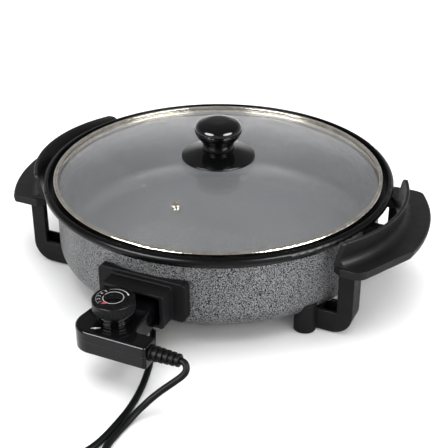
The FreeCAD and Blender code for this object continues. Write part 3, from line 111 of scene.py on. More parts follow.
class Tree:
    """The node tree of a material or the world."""

    def __init__(self, name: str, world: bool = False) -> None:
        """Make an empty material, or an empty world.

        Args:
            name: The name of the material or world.
            world: Whether a world is made.
        """
        self.owner = (bpy.data.worlds if world else bpy.data.materials).new(name)
        self.owner.use_nodes = True
        self.owner.node_tree.nodes.clear()
        self.coordinates = self.add("TexCoord").outputs
        self.place = self.coordinates["Object"]

    def add(
        self, kind: str, *values: object, inputs: dict[str, object] | None = None, **settings: object
    ) -> bpy.types.Node:
        """Add a node with its settings, values and links.

        Args:
            kind: The node's type, after the words that all shader nodes start with.
            *values: What the inputs in use take, in order: a value, a socket, or a node, which
                stands for its first output in use.
            inputs: The same for inputs by name.
            **settings: Properties of the node itself.

        Returns:
            The new node.
        """
        node = self.owner.node_tree.nodes.new(f"ShaderNode{kind}")
        for name, setting in settings.items():
            setattr(node, name, setting)
        pairs = list(zip((socket for socket in node.inputs if socket.enabled), values))
        pairs += [(node.inputs[name], value) for name, value in (inputs or {}).items()]
        for socket, value in pairs:
            if isinstance(value, bpy.types.Node):
                value = next(output for output in value.outputs if output.enabled)
            if isinstance(value, bpy.types.NodeSocket):
                self.owner.node_tree.links.new(value, socket)
            else:
                socket.default_value = value
        return node

    def pattern(self, size_mm: float, **others: object) -> dict[str, object]:
        """Inputs of a pattern whose features have a real width.

        Args:
            size_mm: Width of one feature in millimetres.
            **others: More inputs of the pattern, or another place for it.

        Returns:
            The inputs by name.
        """
        return {"Vector": self.place, "Scale": 1 / (size_mm * MM), **others}

    def between(self, value: object, low: float, high: float, soft: float) -> bpy.types.Node:
        """A mask that is one where a value lies between two bounds.

        Args:
            value: The socket that is tested.
            low: Lower bound.
            high: Upper bound.
            soft: Half the width of each edge.

        Returns:
            The mask.
        """
        rise = self.add("MapRange", value, low - soft, low + soft, **SOFT)
        fall = self.add("MapRange", value, high - soft, high + soft, 1.0, 0.0, **SOFT)
        return self.add("Math", rise, fall, operation="MULTIPLY")

    def trued(self, facing: bpy.types.Node) -> bpy.types.Node:
        """Turn the small flats of a piece turned about the frame's axis into a true round.

        Args:
            facing: The normal that comes with the flats.

        Returns:
            The normal without its part along the turn, where that part is small.
        """
        along = self.add("VectorMath", UPWARD, self.place, operation="CROSS_PRODUCT")
        along = self.add("VectorMath", along, operation="NORMALIZE")
        share = self.add("VectorMath", along, facing, operation="DOT_PRODUCT")
        size = self.add("Math", share, operation="ABSOLUTE")
        small = self.add("Math", size, LARGEST_FLAT, operation="LESS_THAN")
        small_share = self.add("Math", share, small, operation="MULTIPLY")
        flat = self.add("VectorMath", along, small_share, operation="SCALE")
        trued = self.add("VectorMath", facing, flat, operation="SUBTRACT")
        return self.add("VectorMath", trued, operation="NORMALIZE")

    def normal(
        self,
        height: object,
        depth_mm: float,
        strength: float = 1.0,
        edge_mm: float = 0.0,
        turned: bool = False,
    ) -> bpy.types.Node:
        """A bumped normal, with edges rounded by a real radius.

        Args:
            height: The surface's height, zero to one.
            depth_mm: What a height of one stands for.
            strength: How much of the bump counts.
            edge_mm: Radius that edges seem to have, or zero.
            turned: Whether the piece is turned about the frame's axis, and has rounded edges.

        Returns:
            The normal.
        """
        inputs = {"Height": height, "Distance": depth_mm * MM, "Strength": strength}
        if edge_mm:
            inputs["Normal"] = self.add("Bevel", edge_mm * MM, samples=EDGE_SAMPLES)
        if turned:
            inputs["Normal"] = self.trued(inputs["Normal"])
        return self.add("Bump", inputs=inputs)

    def surface(self, **inputs: object) -> bpy.types.Material:
        """Close the tree with one surface.

        Args:
            **inputs: Inputs of the surface, with spaces written as underscores.

        Returns:
            The finished material.
        """
        named = {name.replace("_", " "): value for name, value in inputs.items()}
        self.add("OutputMaterial", self.add("BsdfPrincipled", inputs=named))
        return self.owner


@dataclass(frozen=True)
class Plastic:
    """A moulded plastic or rubber: colour, sheen, grain and rounded edges."""

    name: str
    colour: str
    worn: str
    roughness: float
    grain_mm: float
    grain_depth_mm: float
    edge_mm: float
    level: float = 0.5
    drift_mm: float = 38.0
    polish_mm: float = 9.0

    def build(self) -> bpy.types.Material:
        """Make the material.

        Returns:
            A material whose colour and sheen drift slowly and whose grain is fine.
        """
        tree = Tree(self.name)
        drift = tree.add("TexNoise", inputs=tree.pattern(self.drift_mm, Detail=2.0))
        polish = tree.add("TexNoise", inputs=tree.pattern(self.polish_mm, Detail=4.0))
        grain = tree.add("TexNoise", inputs=tree.pattern(self.grain_mm, Detail=2.0))
        wear = tree.add("MapRange", drift, 0.35, 0.7, **SOFT)
        least, most = self.roughness * 0.9, self.roughness * 1.12
        return tree.surface(
            Base_Color=tree.add("Mix", wear, linear(self.colour), linear(self.worn), **COLOUR),
            Roughness=tree.add("MapRange", polish, 0.3, 0.7, least, most, **SOFT),
            Specular_IOR_Level=self.level,
            Normal=tree.normal(grain, self.grain_depth_mm, edge_mm=self.edge_mm),
        )


@dataclass(frozen=True)
class Metal:
    """A bare metal: colour, polish and the marks that handling leaves."""

    name: str
    colour: str
    shade: str
    roughness: float
    mark_mm: float = 6.0
    edge_mm: float = 0.3
    turned: bool = False
    grain_mm: float = 0.35
    grain_depth_mm: float = 0.001

    def build(self) -> bpy.types.Material:
        """Make the material.

        Returns:
            A metal with faint cloudy handling marks and a fine drawn grain.
        """
        tree = Tree(self.name)
        marks = tree.add("TexNoise", inputs=tree.pattern(self.mark_mm, Detail=5.0))
        grain = tree.add("TexNoise", inputs=tree.pattern(self.grain_mm, Detail=1.0))
        dull = tree.add("MapRange", marks, 0.3, 0.75, **SOFT)
        least, most = self.roughness * 0.75, self.roughness * 1.4
        return tree.surface(
            Base_Color=tree.add("Mix", dull, linear(self.colour), linear(self.shade), **COLOUR),
            Metallic=1.0,
            Roughness=tree.add("MapRange", marks, 0.25, 0.75, least, most, **SOFT),
            Normal=tree.normal(grain, self.grain_depth_mm, edge_mm=self.edge_mm, turned=self.turned),
        )


# Moulded phenolic from a fine-grained mould: a charcoal satin with soft grey edges
SATIN_PHENOLIC = Plastic("satin_moulded_phenolic", "#131314", "#171718", 0.44, 0.8, 0.01, 1.4, 0.11)
# The same phenolic from a blunter mould: rounder edges and less sheen on legs and socket
DULL_PHENOLIC = Plastic("dull_moulded_phenolic", "#141415", "#18181a", 0.45, 0.8, 0.01, 2.6, 0.06)
# Phenolic from a polished mould: near black, with clean mirrored lights
POLISHED_PHENOLIC = Plastic("polished_moulded_phenolic", "#060607", "#09090a", 0.08, 6.0, 0.015, 0.7, 0.25)
# Extruded rubber jacket: slightly dusty black, with a dull sheen along its length
CORD_JACKET = Plastic("extruded_rubber_jacket", "#0b0b0c", "#101011", 0.42, 1.6, 0.02, 0.0, 0.06)
# Moulded foot rubber: the dullest black of the pan
FOOT_RUBBER = Plastic("moulded_foot_rubber", "#171717", "#1f1f1f", 0.8, 0.8, 0.03, 0.4, 0.2)
# Unglazed ceramic inside the thermostat: warm off-white and chalky
CERAMIC = Plastic("unglazed_ceramic", "#dcd8cc", "#cfcabc", 0.75, 0.7, 0.02, 0.2)
# Rolled and polished stainless steel: a warm bright line round the glass
BAND_STEEL = Metal("polished_band_steel", "#ece7de", "#d2cabd", 0.13, 14.0, 0.4, turned=True)
# The same steel pressed into the small eyelet of the vent
EYELET_STEEL = Metal("polished_eyelet_steel", "#ece7de", "#d2cabd", 0.14, 4.0, 0.2)
# Zinc-plated steel: cool grey that catches single points of light
ZINC_STEEL = Metal("zinc_plated_steel", "#b9bcc0", "#8f9296", 0.3)
# Drawn steel of the element's sheath: dull, and straw coloured from heat
SHEATH_STEEL = Metal("heated_sheath_steel", "#9b978e", "#6f6659", 0.42, 18.0)
# Stamped brass: soft yellow with darker fingering
BRASS = Metal("stamped_brass", "#d8b86a", "#a88a48", 0.28)


@dataclass(frozen=True)
class RibbedDial:
    """Moulded ABS of the dial: scuffed black face, upright ribs round the grip, glossy rings below.

    The rib crests are given a lighter colour, a painted highlight, as well as the thin upright lights their
    relief catches. The rings under them catch thin level ones.
    """

    name: str = "ribbed_moulded_abs"
    axis_mm: tuple[float, float] = (0.0, -244.5)
    band_mm: tuple[float, float] = (75.8, 86.4)
    band_edge_mm: float = 0.3
    ribs: int = 88
    rib_depth_mm: float = 0.35
    grip_radius_mm: float = 20.8
    grip_edge_mm: float = 0.1
    edge_mm: float = 0.5
    grain_mm: float = 0.7
    scuff_mm: float = 2.2
    face: str = "#080809"
    # Painted highlight: the lighter colour that the rib crests get
    crest_highlight: str = "#161618"
    scuff: str = "#2a2a2c"

    def crests(self, tree: Tree) -> tuple[bpy.types.Node, bpy.types.Node]:
        """Work out where the ribs stand and where the rings are.

        Args:
            tree: The tree that the masks are added to.

        Returns:
            How high a point is on a rib, and a mask of the rings below the ribs.
        """
        x, y = (value * MM for value in self.axis_mm)
        low, high = (value * MM for value in self.band_mm)
        inner, outer = ((self.grip_radius_mm + side * self.grip_edge_mm) * MM for side in (-1, 1))
        offset = tree.add("VectorMath", tree.place, (x, y, 0.0), operation="SUBTRACT")
        level = tree.add("VectorMath", offset, LEVEL, operation="MULTIPLY")
        radius = tree.add("VectorMath", level, operation="LENGTH")
        parts = tree.add("SeparateXYZ", offset).outputs
        angle = tree.add("Math", parts["Y"], parts["X"], operation="ARCTAN2")
        turned = tree.add("Math", angle, float(self.ribs), operation="MULTIPLY")
        wave = tree.add("Math", turned, operation="SINE")
        crest = tree.add("Math", wave, 0.5, 0.5, operation="MULTIPLY_ADD")
        band = tree.between(parts["Z"], low, high, self.band_edge_mm * MM)
        skin = tree.add("MapRange", radius, inner, outer, **SOFT)
        grip = tree.add("Math", band, skin, operation="MULTIPLY")
        rings = tree.add("Math", parts["Z"], low, operation="LESS_THAN")
        return tree.add("Math", grip, crest, operation="MULTIPLY"), rings

    def build(self) -> bpy.types.Material:
        """Make the material.

        Returns:
            One material for the face, the ribbed band and the rings.
        """
        tree = Tree(self.name)
        ribbed, rings = self.crests(tree)
        grain = tree.add("TexNoise", inputs=tree.pattern(self.grain_mm, Detail=2.0))
        wear = tree.add("TexNoise", inputs=tree.pattern(self.scuff_mm, Detail=5.0))
        scuffs = tree.add("MapRange", wear, 0.52, 0.72, 0.0, 0.5, **SOFT)
        # The rib crests turn lighter than the face: a painted highlight
        colour = tree.add("Mix", ribbed, linear(self.face), linear(self.crest_highlight), **COLOUR)
        rough = tree.add("MapRange", grain, 0.3, 0.7, 0.22, 0.32, **SOFT)
        return tree.surface(
            Base_Color=tree.add("Mix", scuffs, colour, linear(self.scuff), **COLOUR),
            Roughness=tree.add("Math", rings, -0.14, rough, operation="MULTIPLY_ADD"),
            Specular_IOR_Level=tree.add("Math", rings, 0.4, 0.08, operation="MULTIPLY_ADD"),
            Normal=tree.normal(
                tree.add("Math", grain, 0.05, ribbed, operation="MULTIPLY_ADD"),
                self.rib_depth_mm,
                edge_mm=self.edge_mm,
            ),
        )


@dataclass(frozen=True)
class HammeredEnamel:
    """Sprayed hammer enamel of the pan, with a black rim and a grey non-stick coating inside.

    The enamel gives the wall its net of light pebbles and dark seams. Its pebbles are drawn
    a little wider than the real ones, so that they show.
    """

    name: str = "sprayed_hammer_enamel"
    pebble_mm: float = 0.9
    pebble_depth_mm: float = 0.8
    pebble_strength: float = 0.9
    # 420 features of the warp to the metre
    warp_mm: float = 1000 / 420
    warp_share: float = 0.0012
    pebble: str = "#828385"
    seam: str = "#050506"
    speck: str = "#121213"
    speck_share: float = 0.28
    rim: str = "#060607"
    coating: str = "#5f5f62"
    fleck: str = "#6a6a6d"
    fleck_mm: float = 1.1
    outside_roughness: float = 0.3
    rim_roughness: float = 0.27
    inside_roughness: float = 0.36
    outside_metallic: float = 0.5
    level: float = 0.38
    rim_level: float = 0.1
    edge_mm: float = 0.5
    under_ledge_mm: float = 102.0
    ledge_top_mm: float = 105.0
    height_slack_mm: float = 0.1

    def masks(self, tree: Tree) -> dict[Zone, bpy.types.Node]:
        """Work out which zone a point of the pan is in, by its height and the way it faces.

        Args:
            tree: The tree that the masks are added to.

        Returns:
            A mask for each zone.
        """
        bottom, top = ((z - self.height_slack_mm) * MM for z in (self.under_ledge_mm, self.ledge_top_mm))
        height = tree.add("SeparateXYZ", tree.place).outputs["Z"]
        facing = tree.add("NewGeometry").outputs["True Normal"]
        upward = tree.add("SeparateXYZ", facing).outputs["Z"]
        level = tree.add("VectorMath", tree.place, LEVEL, operation="MULTIPLY")
        away = tree.add("VectorMath", level, operation="NORMALIZE")
        outward = tree.add("VectorMath", away, facing, operation="DOT_PRODUCT")
        lean = tree.add("Math", upward, outward, operation="SUBTRACT")
        inward = tree.add("Math", lean, 0.05, operation="GREATER_THAN")
        below = tree.add("Math", height, top, operation="LESS_THAN")
        above = tree.add("Math", height, bottom, operation="GREATER_THAN")
        inside = tree.add("Math", inward, below, operation="MULTIPLY")
        not_inside = tree.add("Math", 1.0, inside, operation="SUBTRACT")
        rim = tree.add("Math", above, not_inside, operation="MULTIPLY")
        outside = tree.add("Math", not_inside, rim, operation="SUBTRACT")
        return {Zone.INSIDE: inside, Zone.RIM: rim, Zone.OUTSIDE: outside}

    def net(self, tree: Tree) -> bpy.types.Node:
        """Draw the enamel's pebbles and seams.

        Args:
            tree: The tree that the pattern is added to.

        Returns:
            Distance from the nearest pebble's middle, which is largest on the seams.
        """
        warp = tree.add("TexNoise", inputs=tree.pattern(self.warp_mm, Detail=2.0)).outputs["Color"]
        moved = tree.add("Mix", self.warp_share, tree.place, warp, data_type="VECTOR")
        return tree.add("TexVoronoi", inputs=tree.pattern(self.pebble_mm, Vector=moved), feature="SMOOTH_F1")

    def build(self) -> bpy.types.Material:
        """Make the material.

        Returns:
            One material that changes between the three zones.
        """
        tree = Tree(self.name)
        zones = self.masks(tree)
        net = self.net(tree)
        grit = tree.add("TexNoise", inputs=tree.pattern(self.pebble_mm * 0.8, Detail=2.0))
        cloud = tree.add("TexNoise", inputs=tree.pattern(self.fleck_mm, Detail=2.0))
        seams = tree.add("MapRange", net, 0.32, 0.5, **SOFT)
        specks = tree.add("MapRange", grit, 0.5, 0.7, 0.0, self.speck_share, **SOFT)
        flecks = tree.add("MapRange", cloud, 0.4, 0.62, **SOFT)
        enamel = tree.add("Mix", seams, linear(self.pebble), linear(self.seam), **COLOUR)
        enamel = tree.add("Mix", specks, enamel, linear(self.speck), **COLOUR)
        coating = tree.add("Mix", flecks, linear(self.coating), linear(self.fleck), **COLOUR)
        colour = tree.add("Mix", zones[Zone.RIM], enamel, linear(self.rim), **COLOUR)
        rough = tree.add("Math", zones[Zone.OUTSIDE], self.outside_roughness, operation="MULTIPLY")
        rough = tree.add("Math", zones[Zone.RIM], self.rim_roughness, rough, operation="MULTIPLY_ADD")
        rough = tree.add("Math", zones[Zone.INSIDE], self.inside_roughness, rough, operation="MULTIPLY_ADD")
        sheen_change = self.rim_level - self.level
        relief = tree.add("Math", net, zones[Zone.OUTSIDE], operation="MULTIPLY")
        return tree.surface(
            Base_Color=tree.add("Mix", zones[Zone.INSIDE], colour, coating, **COLOUR),
            Roughness=rough,
            Metallic=tree.add("Math", zones[Zone.OUTSIDE], self.outside_metallic, operation="MULTIPLY"),
            Specular_IOR_Level=tree.add(
                "Math", zones[Zone.RIM], sheen_change, self.level, operation="MULTIPLY_ADD"
            ),
            Normal=tree.normal(relief, self.pebble_depth_mm, self.pebble_strength, self.edge_mm, turned=True),
        )


@dataclass(frozen=True)
class LidGlass:
    """Clear tempered glass, pressed to a dome: it shows the coating and softly mirrors the studio.

    Its alpha thins it, because a dome of full strength darkens the pan too much.
    """

    name: str = "clear_tempered_glass"
    tint: str = "#f2f5f4"
    alpha: float = 0.42
    smear_mm: float = 60.0
    wave_mm: float = 90.0
    wave_depth_mm: float = 0.12

    def build(self) -> bpy.types.Material:
        """Make the material.

        Returns:
            A mostly see-through material that still mirrors the studio.
        """
        tree = Tree(self.name)
        smear = tree.add("TexNoise", inputs=tree.pattern(self.smear_mm, Detail=3.0))
        wave = tree.add("TexNoise", inputs=tree.pattern(self.wave_mm, Detail=1.0))
        return tree.surface(
            Base_Color=linear(self.tint),
            Roughness=tree.add("MapRange", smear, 0.35, 0.75, 0.01, 0.05, **SOFT),
            IOR=1.5,
            Transmission_Weight=1.0,
            Alpha=self.alpha,
            Specular_IOR_Level=0.7,
            Normal=tree.normal(wave, self.wave_depth_mm),
        )


@dataclass(frozen=True)
class CoverPlastic:
    """Polished ABS of the thermostat's covers: deep black, with the shells' thin joint drawn in."""

    name: str = "polished_moulded_abs"
    colour: str = "#060607"
    worn: str = "#0b0b0d"
    joint: str = "#000000"
    joint_z_mm: float = 53.2
    joint_half_mm: float = 0.12
    joint_depth_mm: float = 0.2
    drift_mm: float = 30.0
    edge_mm: float = 0.9

    def build(self) -> bpy.types.Material:
        """Make the material.

        Returns:
            The polished finish with one thin level parting line.
        """
        tree = Tree(self.name)
        low, high = ((self.joint_z_mm + side * self.joint_half_mm) * MM for side in (-1, 1))
        height = tree.add("SeparateXYZ", tree.place).outputs["Z"]
        joint = tree.between(height, low, high, self.joint_half_mm / 2 * MM)
        drift = tree.add("TexNoise", inputs=tree.pattern(self.drift_mm, Detail=3.0))
        wear = tree.add("MapRange", drift, 0.35, 0.7, **SOFT)
        colour = tree.add("Mix", wear, linear(self.colour), linear(self.worn), **COLOUR)
        ripple = tree.add("Math", drift, 0.02, operation="MULTIPLY")
        relief = tree.add("Math", ripple, joint, operation="SUBTRACT")
        return tree.surface(
            Base_Color=tree.add("Mix", joint, colour, linear(self.joint), **COLOUR),
            Roughness=tree.add("MapRange", drift, 0.3, 0.75, 0.07, 0.13, **SOFT),
            Specular_IOR_Level=0.15,
            Normal=tree.normal(relief, self.joint_depth_mm, edge_mm=self.edge_mm),
        )


@dataclass(frozen=True)
class PrintInk:
    """Screen-printed ink: flat colour with a slightly uneven film."""

    name: str
    colour: str
    thinnest: float = 0.86
    film_mm: float = 0.5
    film_depth_mm: float = 0.01

    def build(self) -> bpy.types.Material:
        """Make the material.

        Returns:
            The ink's material.
        """
        tree = Tree(self.name)
        film = tree.add("TexNoise", inputs=tree.pattern(self.film_mm, Detail=2.0))
        thinning = tree.add("MapRange", film, 0.4, 0.7, **SOFT)
        full = linear(self.colour)
        thin = (*(part * self.thinnest for part in full[:3]), 1.0)
        return tree.surface(
            Base_Color=tree.add("Mix", thinning, full, thin, **COLOUR),
            Roughness=0.5,
            Normal=tree.normal(film, self.film_depth_mm),
        )


@dataclass(frozen=True)
class TintedGlass:
    """Moulded lens and blown capsule of the pilot lamp: tinted, cloudy and see-through."""

    name: str
    colour: str
    alpha: float
    roughness: float
    cloud_mm: float = 2.5
    cloud_depth_mm: float = 0.02
    edge_mm: float = 0.2

    def build(self) -> bpy.types.Material:
        """Make the material.

        Returns:
            A tinted, slightly cloudy transparent material.
        """
        tree = Tree(self.name)
        cloud = tree.add("TexNoise", inputs=tree.pattern(self.cloud_mm, Detail=3.0))
        return tree.surface(
            Base_Color=linear(self.colour),
            Roughness=tree.add("MapRange", cloud, 0.3, 0.7, self.roughness, self.roughness * 1.8, **SOFT),
            Transmission_Weight=0.4,
            Alpha=self.alpha,
            Coat_Weight=0.5,
            Normal=tree.normal(cloud, self.cloud_depth_mm, edge_mm=self.edge_mm),
        )


@dataclass
class FinishBook:
    """Which finish each solid wears."""

    plan: dict[Finish, tuple[str, ...]] = field(
        default_factory=lambda: {
            HammeredEnamel(): ("pan",),
            LidGlass(): ("lid_glass",),
            BAND_STEEL: ("lid_band",),
            EYELET_STEEL: ("vent_grommet",),
            POLISHED_PHENOLIC: ("lid_knob", "knob_plate"),
            CoverPlastic(): ("thermostat_cover_upper", "thermostat_cover_lower"),
            SATIN_PHENOLIC: ("handle_right", "handle_left", "mains_plug"),
            DULL_PHENOLIC: (
                "leg_front_right",
                "leg_front_left",
                "leg_back_right",
                "leg_back_left",
                "thermostat_socket",
            ),
            RibbedDial(): ("dial",),
            CORD_JACKET: ("strain_relief", "cord_tie"),
            FOOT_RUBBER: ("foot_front_left", "foot_front_right", "foot_back_left", "foot_back_right"),
            CERAMIC: ("insulator_stack",),
            SHEATH_STEEL: ("heating_element",),
            BRASS: ("terminal_pins", "plug_contacts", "contact_blade", "mains_plug_pins", "spindle_bush"),
            ZINC_STEEL: (
                "socket_screws",
                "leg_screws",
                "handle_screws",
                "housing_screws",
                "knob_screw",
                "knob_washer",
                "knob_spacer",
                "sensor_probe",
                "thermostat_frame",
                "frame_rivets",
                "dial_spindle",
            ),
            TintedGlass("clear_lens_polycarbonate", "#d9dbdc", 0.9, 0.12): ("pilot_lens",),
            TintedGlass("amber_lamp_glass", "#e0a070", 0.6, 0.1): ("pilot_lamp",),
        }
    )

    def dress(self) -> None:
        """Build every finish once and assign it to its solids' slots."""
        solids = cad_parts
        dressed = set()
        for finish, names in self.plan.items():
            material = finish.build()
            for name in names:
                for slot in solids[name].material_slots:
                    slot.material = material
                dressed.add(name)
                log.info("%s wears %s", name, finish.name)
        for name in sorted(set(solids) - dressed):
            log.warning("no finish for %s", name)


@dataclass
class Cord:
    """The mains cord: one smooth line from the strain relief, through its coil, to the plug."""

    near_mm: Sequence[tuple[float, float, float]] = (
        (83.4, -267.2, 53.2), (85.4, -267.2, 53.2), (88.0, -267.7, 52.4), (90.2, -268.9, 50.3),
        (91.1, -270.7, 47.3), (90.2, -272.7, 44.0), (87.1, -275.1, 40.4), (82.6, -277.9, 36.4),
        (77.2, -280.8, 31.6), (71.0, -283.9, 26.0), (64.8, -288.0, 20.0), (59.2, -293.6, 14.0),
        (54.5, -300.8, 8.9), (51.4, -309.8, 5.4), (49.6, -320.8, 3.6), (48.7, -333.6, 3.6),
        (48.6, -349.0, 3.6), (51.6, -365.5, 3.6), (59.6, -382.5, 3.6), (70.6, -398.6, 3.6),
        (81.6, -415.0, 3.6), (87.0, -431.2, 3.6),
    )
    far_mm: Sequence[tuple[float, float, float]] = (
        (3.0, -431.2, 11.0), (6.0, -416.5, 10.4), (13.8, -401.6, 7.8), (23.6, -387.0, 5.2),
        (32.6, -371.4, 3.6), (39.0, -355.0, 3.6), (41.4, -337.0, 3.6), (42.2, -318.0, 3.6),
        (42.6, -299.0, 3.6), (40.2, -276.0, 3.6), (34.4, -249.0, 3.6), (24.4, -218.0, 3.6),
        (9.0, -186.0, 3.6), (-10.0, -150.0, 3.6), (-26.0, -104.0, 3.6), (-36.0, -56.0, 3.6),
        (-42.0, -6.0, 3.6), (-48.0, 42.0, 3.6), (-57.0, 88.0, 3.6), (-68.0, 127.0, 3.6),
        (-80.0, 158.0, 3.6), (-90.0, 181.0, 3.6), (-95.0, 196.0, 8.8), (-97.4, 212.0, 14.5),
        (-98.0, 227.0, 19.3), (-98.0, 241.0, 19.3),
    )
    coil_centre_mm: tuple[float, float] = (45.0, -452.0)
    coil_outer_mm: float = 42.0
    pitch_mm: float = 7.4
    half_turns: int = 7
    points_per_turn: int = 12
    floor_mm: float = 3.6
    radius_mm: float = 3.4
    length_m: float = 1.75

    def coil_points(self) -> list[tuple[float, float, float]]:
        """Points of the coil's turns: spiral in on the floor, climb a layer, spiral out.

        Returns:
            Points in millimetres.
        """
        steps = self.half_turns * self.points_per_turn // 2
        points = []
        for step in range(steps + 1):
            turns = step / self.points_per_turn
            inward = min(step, steps - step) / self.points_per_turn * self.pitch_mm
            # The climb takes the half turn in the middle
            climb = min(max((turns - (self.half_turns - 1) / 4) * 2, 0.0), 1.0)
            radius = self.coil_outer_mm - inward
            angle = -2 * math.pi * turns
            points.append(
                (
                    self.coil_centre_mm[0] + radius * math.cos(angle),
                    self.coil_centre_mm[1] + radius * math.sin(angle),
                    self.floor_mm + climb * self.pitch_mm,
                )
            )
        return points

    def build(self) -> bpy.types.Object:
        """Returns:
            The curve object.
        """
        points = [Vector(p) * MM for p in (*self.near_mm, *self.coil_points(), *self.far_mm)]
        curve = bpy.data.curves.new("mains_cord", "CURVE")
        curve.dimensions = "3D"
        curve.resolution_u = 6
        curve.bevel_depth = self.radius_mm * MM
        curve.bevel_resolution = 5
        curve.use_fill_caps = True
        spline = curve.splines.new("NURBS")
        spline.points.add(len(points) - 1)
        for target, point in zip(spline.points, points):
            target.co = (*point, 1.0)
        spline.order_u = 3
        spline.use_endpoint_u = True
        curve.materials.append(CORD_JACKET.build())
        cord = bpy.data.objects.new("mains_cord", curve)
        bpy.context.scene.collection.objects.link(cord)
        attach(cord, "thermostat")
        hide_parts("power_cord", "power_cord_far", "cord_coil")
        log.info("mains_cord drawn through %d points", len(points))
        return cord


@dataclass(frozen=True)
class Panel:
    """One kind of soft light, in metres and watts, at a distance from the object's upright axis."""

    distance: float
    height: float
    size: tuple[float, float]
    power: float
    aim: tuple[float, float, float] = (0.0, 0.0, 0.0)
    shape: LampShape = LampShape.RECTANGLE

    def place(self, name: str, turn_deg: float) -> bpy.types.Object:
        """Stand one such light round the object.

        Args:
            name: The light's name.
            turn_deg: Its direction from the middle of the table, anticlockwise from +X.

        Returns:
            The light.
        """
        ray = math.radians(turn_deg)
        spot = Vector((self.distance * math.cos(ray), self.distance * math.sin(ray), self.height))
        data = bpy.data.lights.new(name, "AREA")
        data.shape = self.shape.value
        data.size, data.size_y = self.size
        data.energy = self.power
        lamp = bpy.data.objects.new(name, data)
        lamp.location = spot
        lamp.rotation_euler = (Vector(self.aim) - spot).to_track_quat("-Z", "Y").to_euler()
        bpy.context.scene.collection.objects.link(lamp)
        return lamp


@dataclass
class Studio:
    """Camera, soft lights, white surround and the pale table, in metres."""

    lens_mm: float = 80.36
    sensor_mm: float = 36.0
    camera_place: tuple[float, float, float] = (0.4321, -0.9377, 0.6260)
    camera_back: tuple[float, float, float] = (0.3597, -0.7935, 0.4911)
    overhead: Panel = Panel(0.1, 2.4, (3.0, 3.0), 92.0)
    fill: Panel = Panel(2.6, 1.2, (1.8, 1.4), 14.0)
    fills: int = 6
    softbox: Panel = Panel(1.7, 1.0, (1.5, 0.9), 115.0, (0.0, 0.0, 0.15), LampShape.ELLIPSE)
    left_deg: float = -112.0
    right_deg: float = -18.0
    white_below: float = 0.1
    dim_above: float = 0.42
    dim: float = 0.3
    table_half: float = 1.7
    table_light: str = "#fbfbfb"
    table_dark: str = "#f6f6f6"
    table_cloud_mm: float = 240.0

    def camera(self) -> None:
        """Set the camera where the photograph was taken from."""
        data = bpy.data.cameras.new("camera")
        data.lens = self.lens_mm
        data.sensor_width = self.sensor_mm
        data.clip_start = 0.01
        back = Vector(self.camera_back).normalized()
        right = Vector(UPWARD).cross(back).normalized()
        up = back.cross(right)
        turn = Matrix((right, up, back)).transposed().to_4x4()
        camera = bpy.data.objects.new("camera", data)
        camera.matrix_world = Matrix.Translation(self.camera_place) @ turn
        bpy.context.scene.collection.objects.link(camera)
        bpy.context.scene.camera = camera

    def surround(self) -> None:
        """Add the surround that glossy pieces mirror: white at the horizon, dim overhead."""
        tree = Tree("studio_surround", world=True)
        rise = tree.add("SeparateXYZ", tree.coordinates["Generated"]).outputs["Z"]
        strength = tree.add("MapRange", rise, self.white_below, self.dim_above, 1.0, self.dim, **SOFT)
        tree.add("OutputWorld", tree.add("Background", linear("#ffffff"), strength))
        bpy.context.scene.world = tree.owner

    def table(self) -> None:
        """Add the pale table as a wide plane with a faint uneven tone."""
        mesh = bpy.data.meshes.new("table")
        half = self.table_half
        corners = [(-half, -half, 0), (half, -half, 0), (half, half, 0), (-half, half, 0)]
        mesh.from_pydata(corners, [], [(0, 1, 2, 3)])
        table = bpy.data.objects.new("table", mesh)
        tree = Tree("pale_table")
        cloud = tree.add("TexNoise", inputs=tree.pattern(self.table_cloud_mm, Detail=2.0))
        share = tree.add("MapRange", cloud, 0.3, 0.7, **SOFT)
        tone = tree.add("Mix", share, linear(self.table_light), linear(self.table_dark), **COLOUR)
        mesh.materials.append(tree.surface(Base_Color=tone, Roughness=0.7))
        bpy.context.scene.collection.objects.link(table)

    def build(self) -> None:
        """Set up everything that isn't part of the object."""
        self.camera()
        self.surround()
        self.table()
        panels = [self.overhead.place("overhead_softbox", 90.0)]
        for i in range(self.fills):
            panels.append(self.fill.place(f"fill_panel_{i}", 360.0 / self.fills * (i + 0.5)))
        # These light the object evenly, and polished pieces don't mirror them
        for panel in panels:
            panel.visible_glossy = False
        # These two leave matt surfaces dark, and are the long lights in polished pieces
        for name, turn_deg in {"left_softbox": self.left_deg, "right_softbox": self.right_deg}.items():
            self.softbox.place(name, turn_deg).visible_diffuse = False
        bpy.context.scene.view_settings.view_transform = "Standard"
        log.info("studio set up with %d lights", len(panels) + 2)


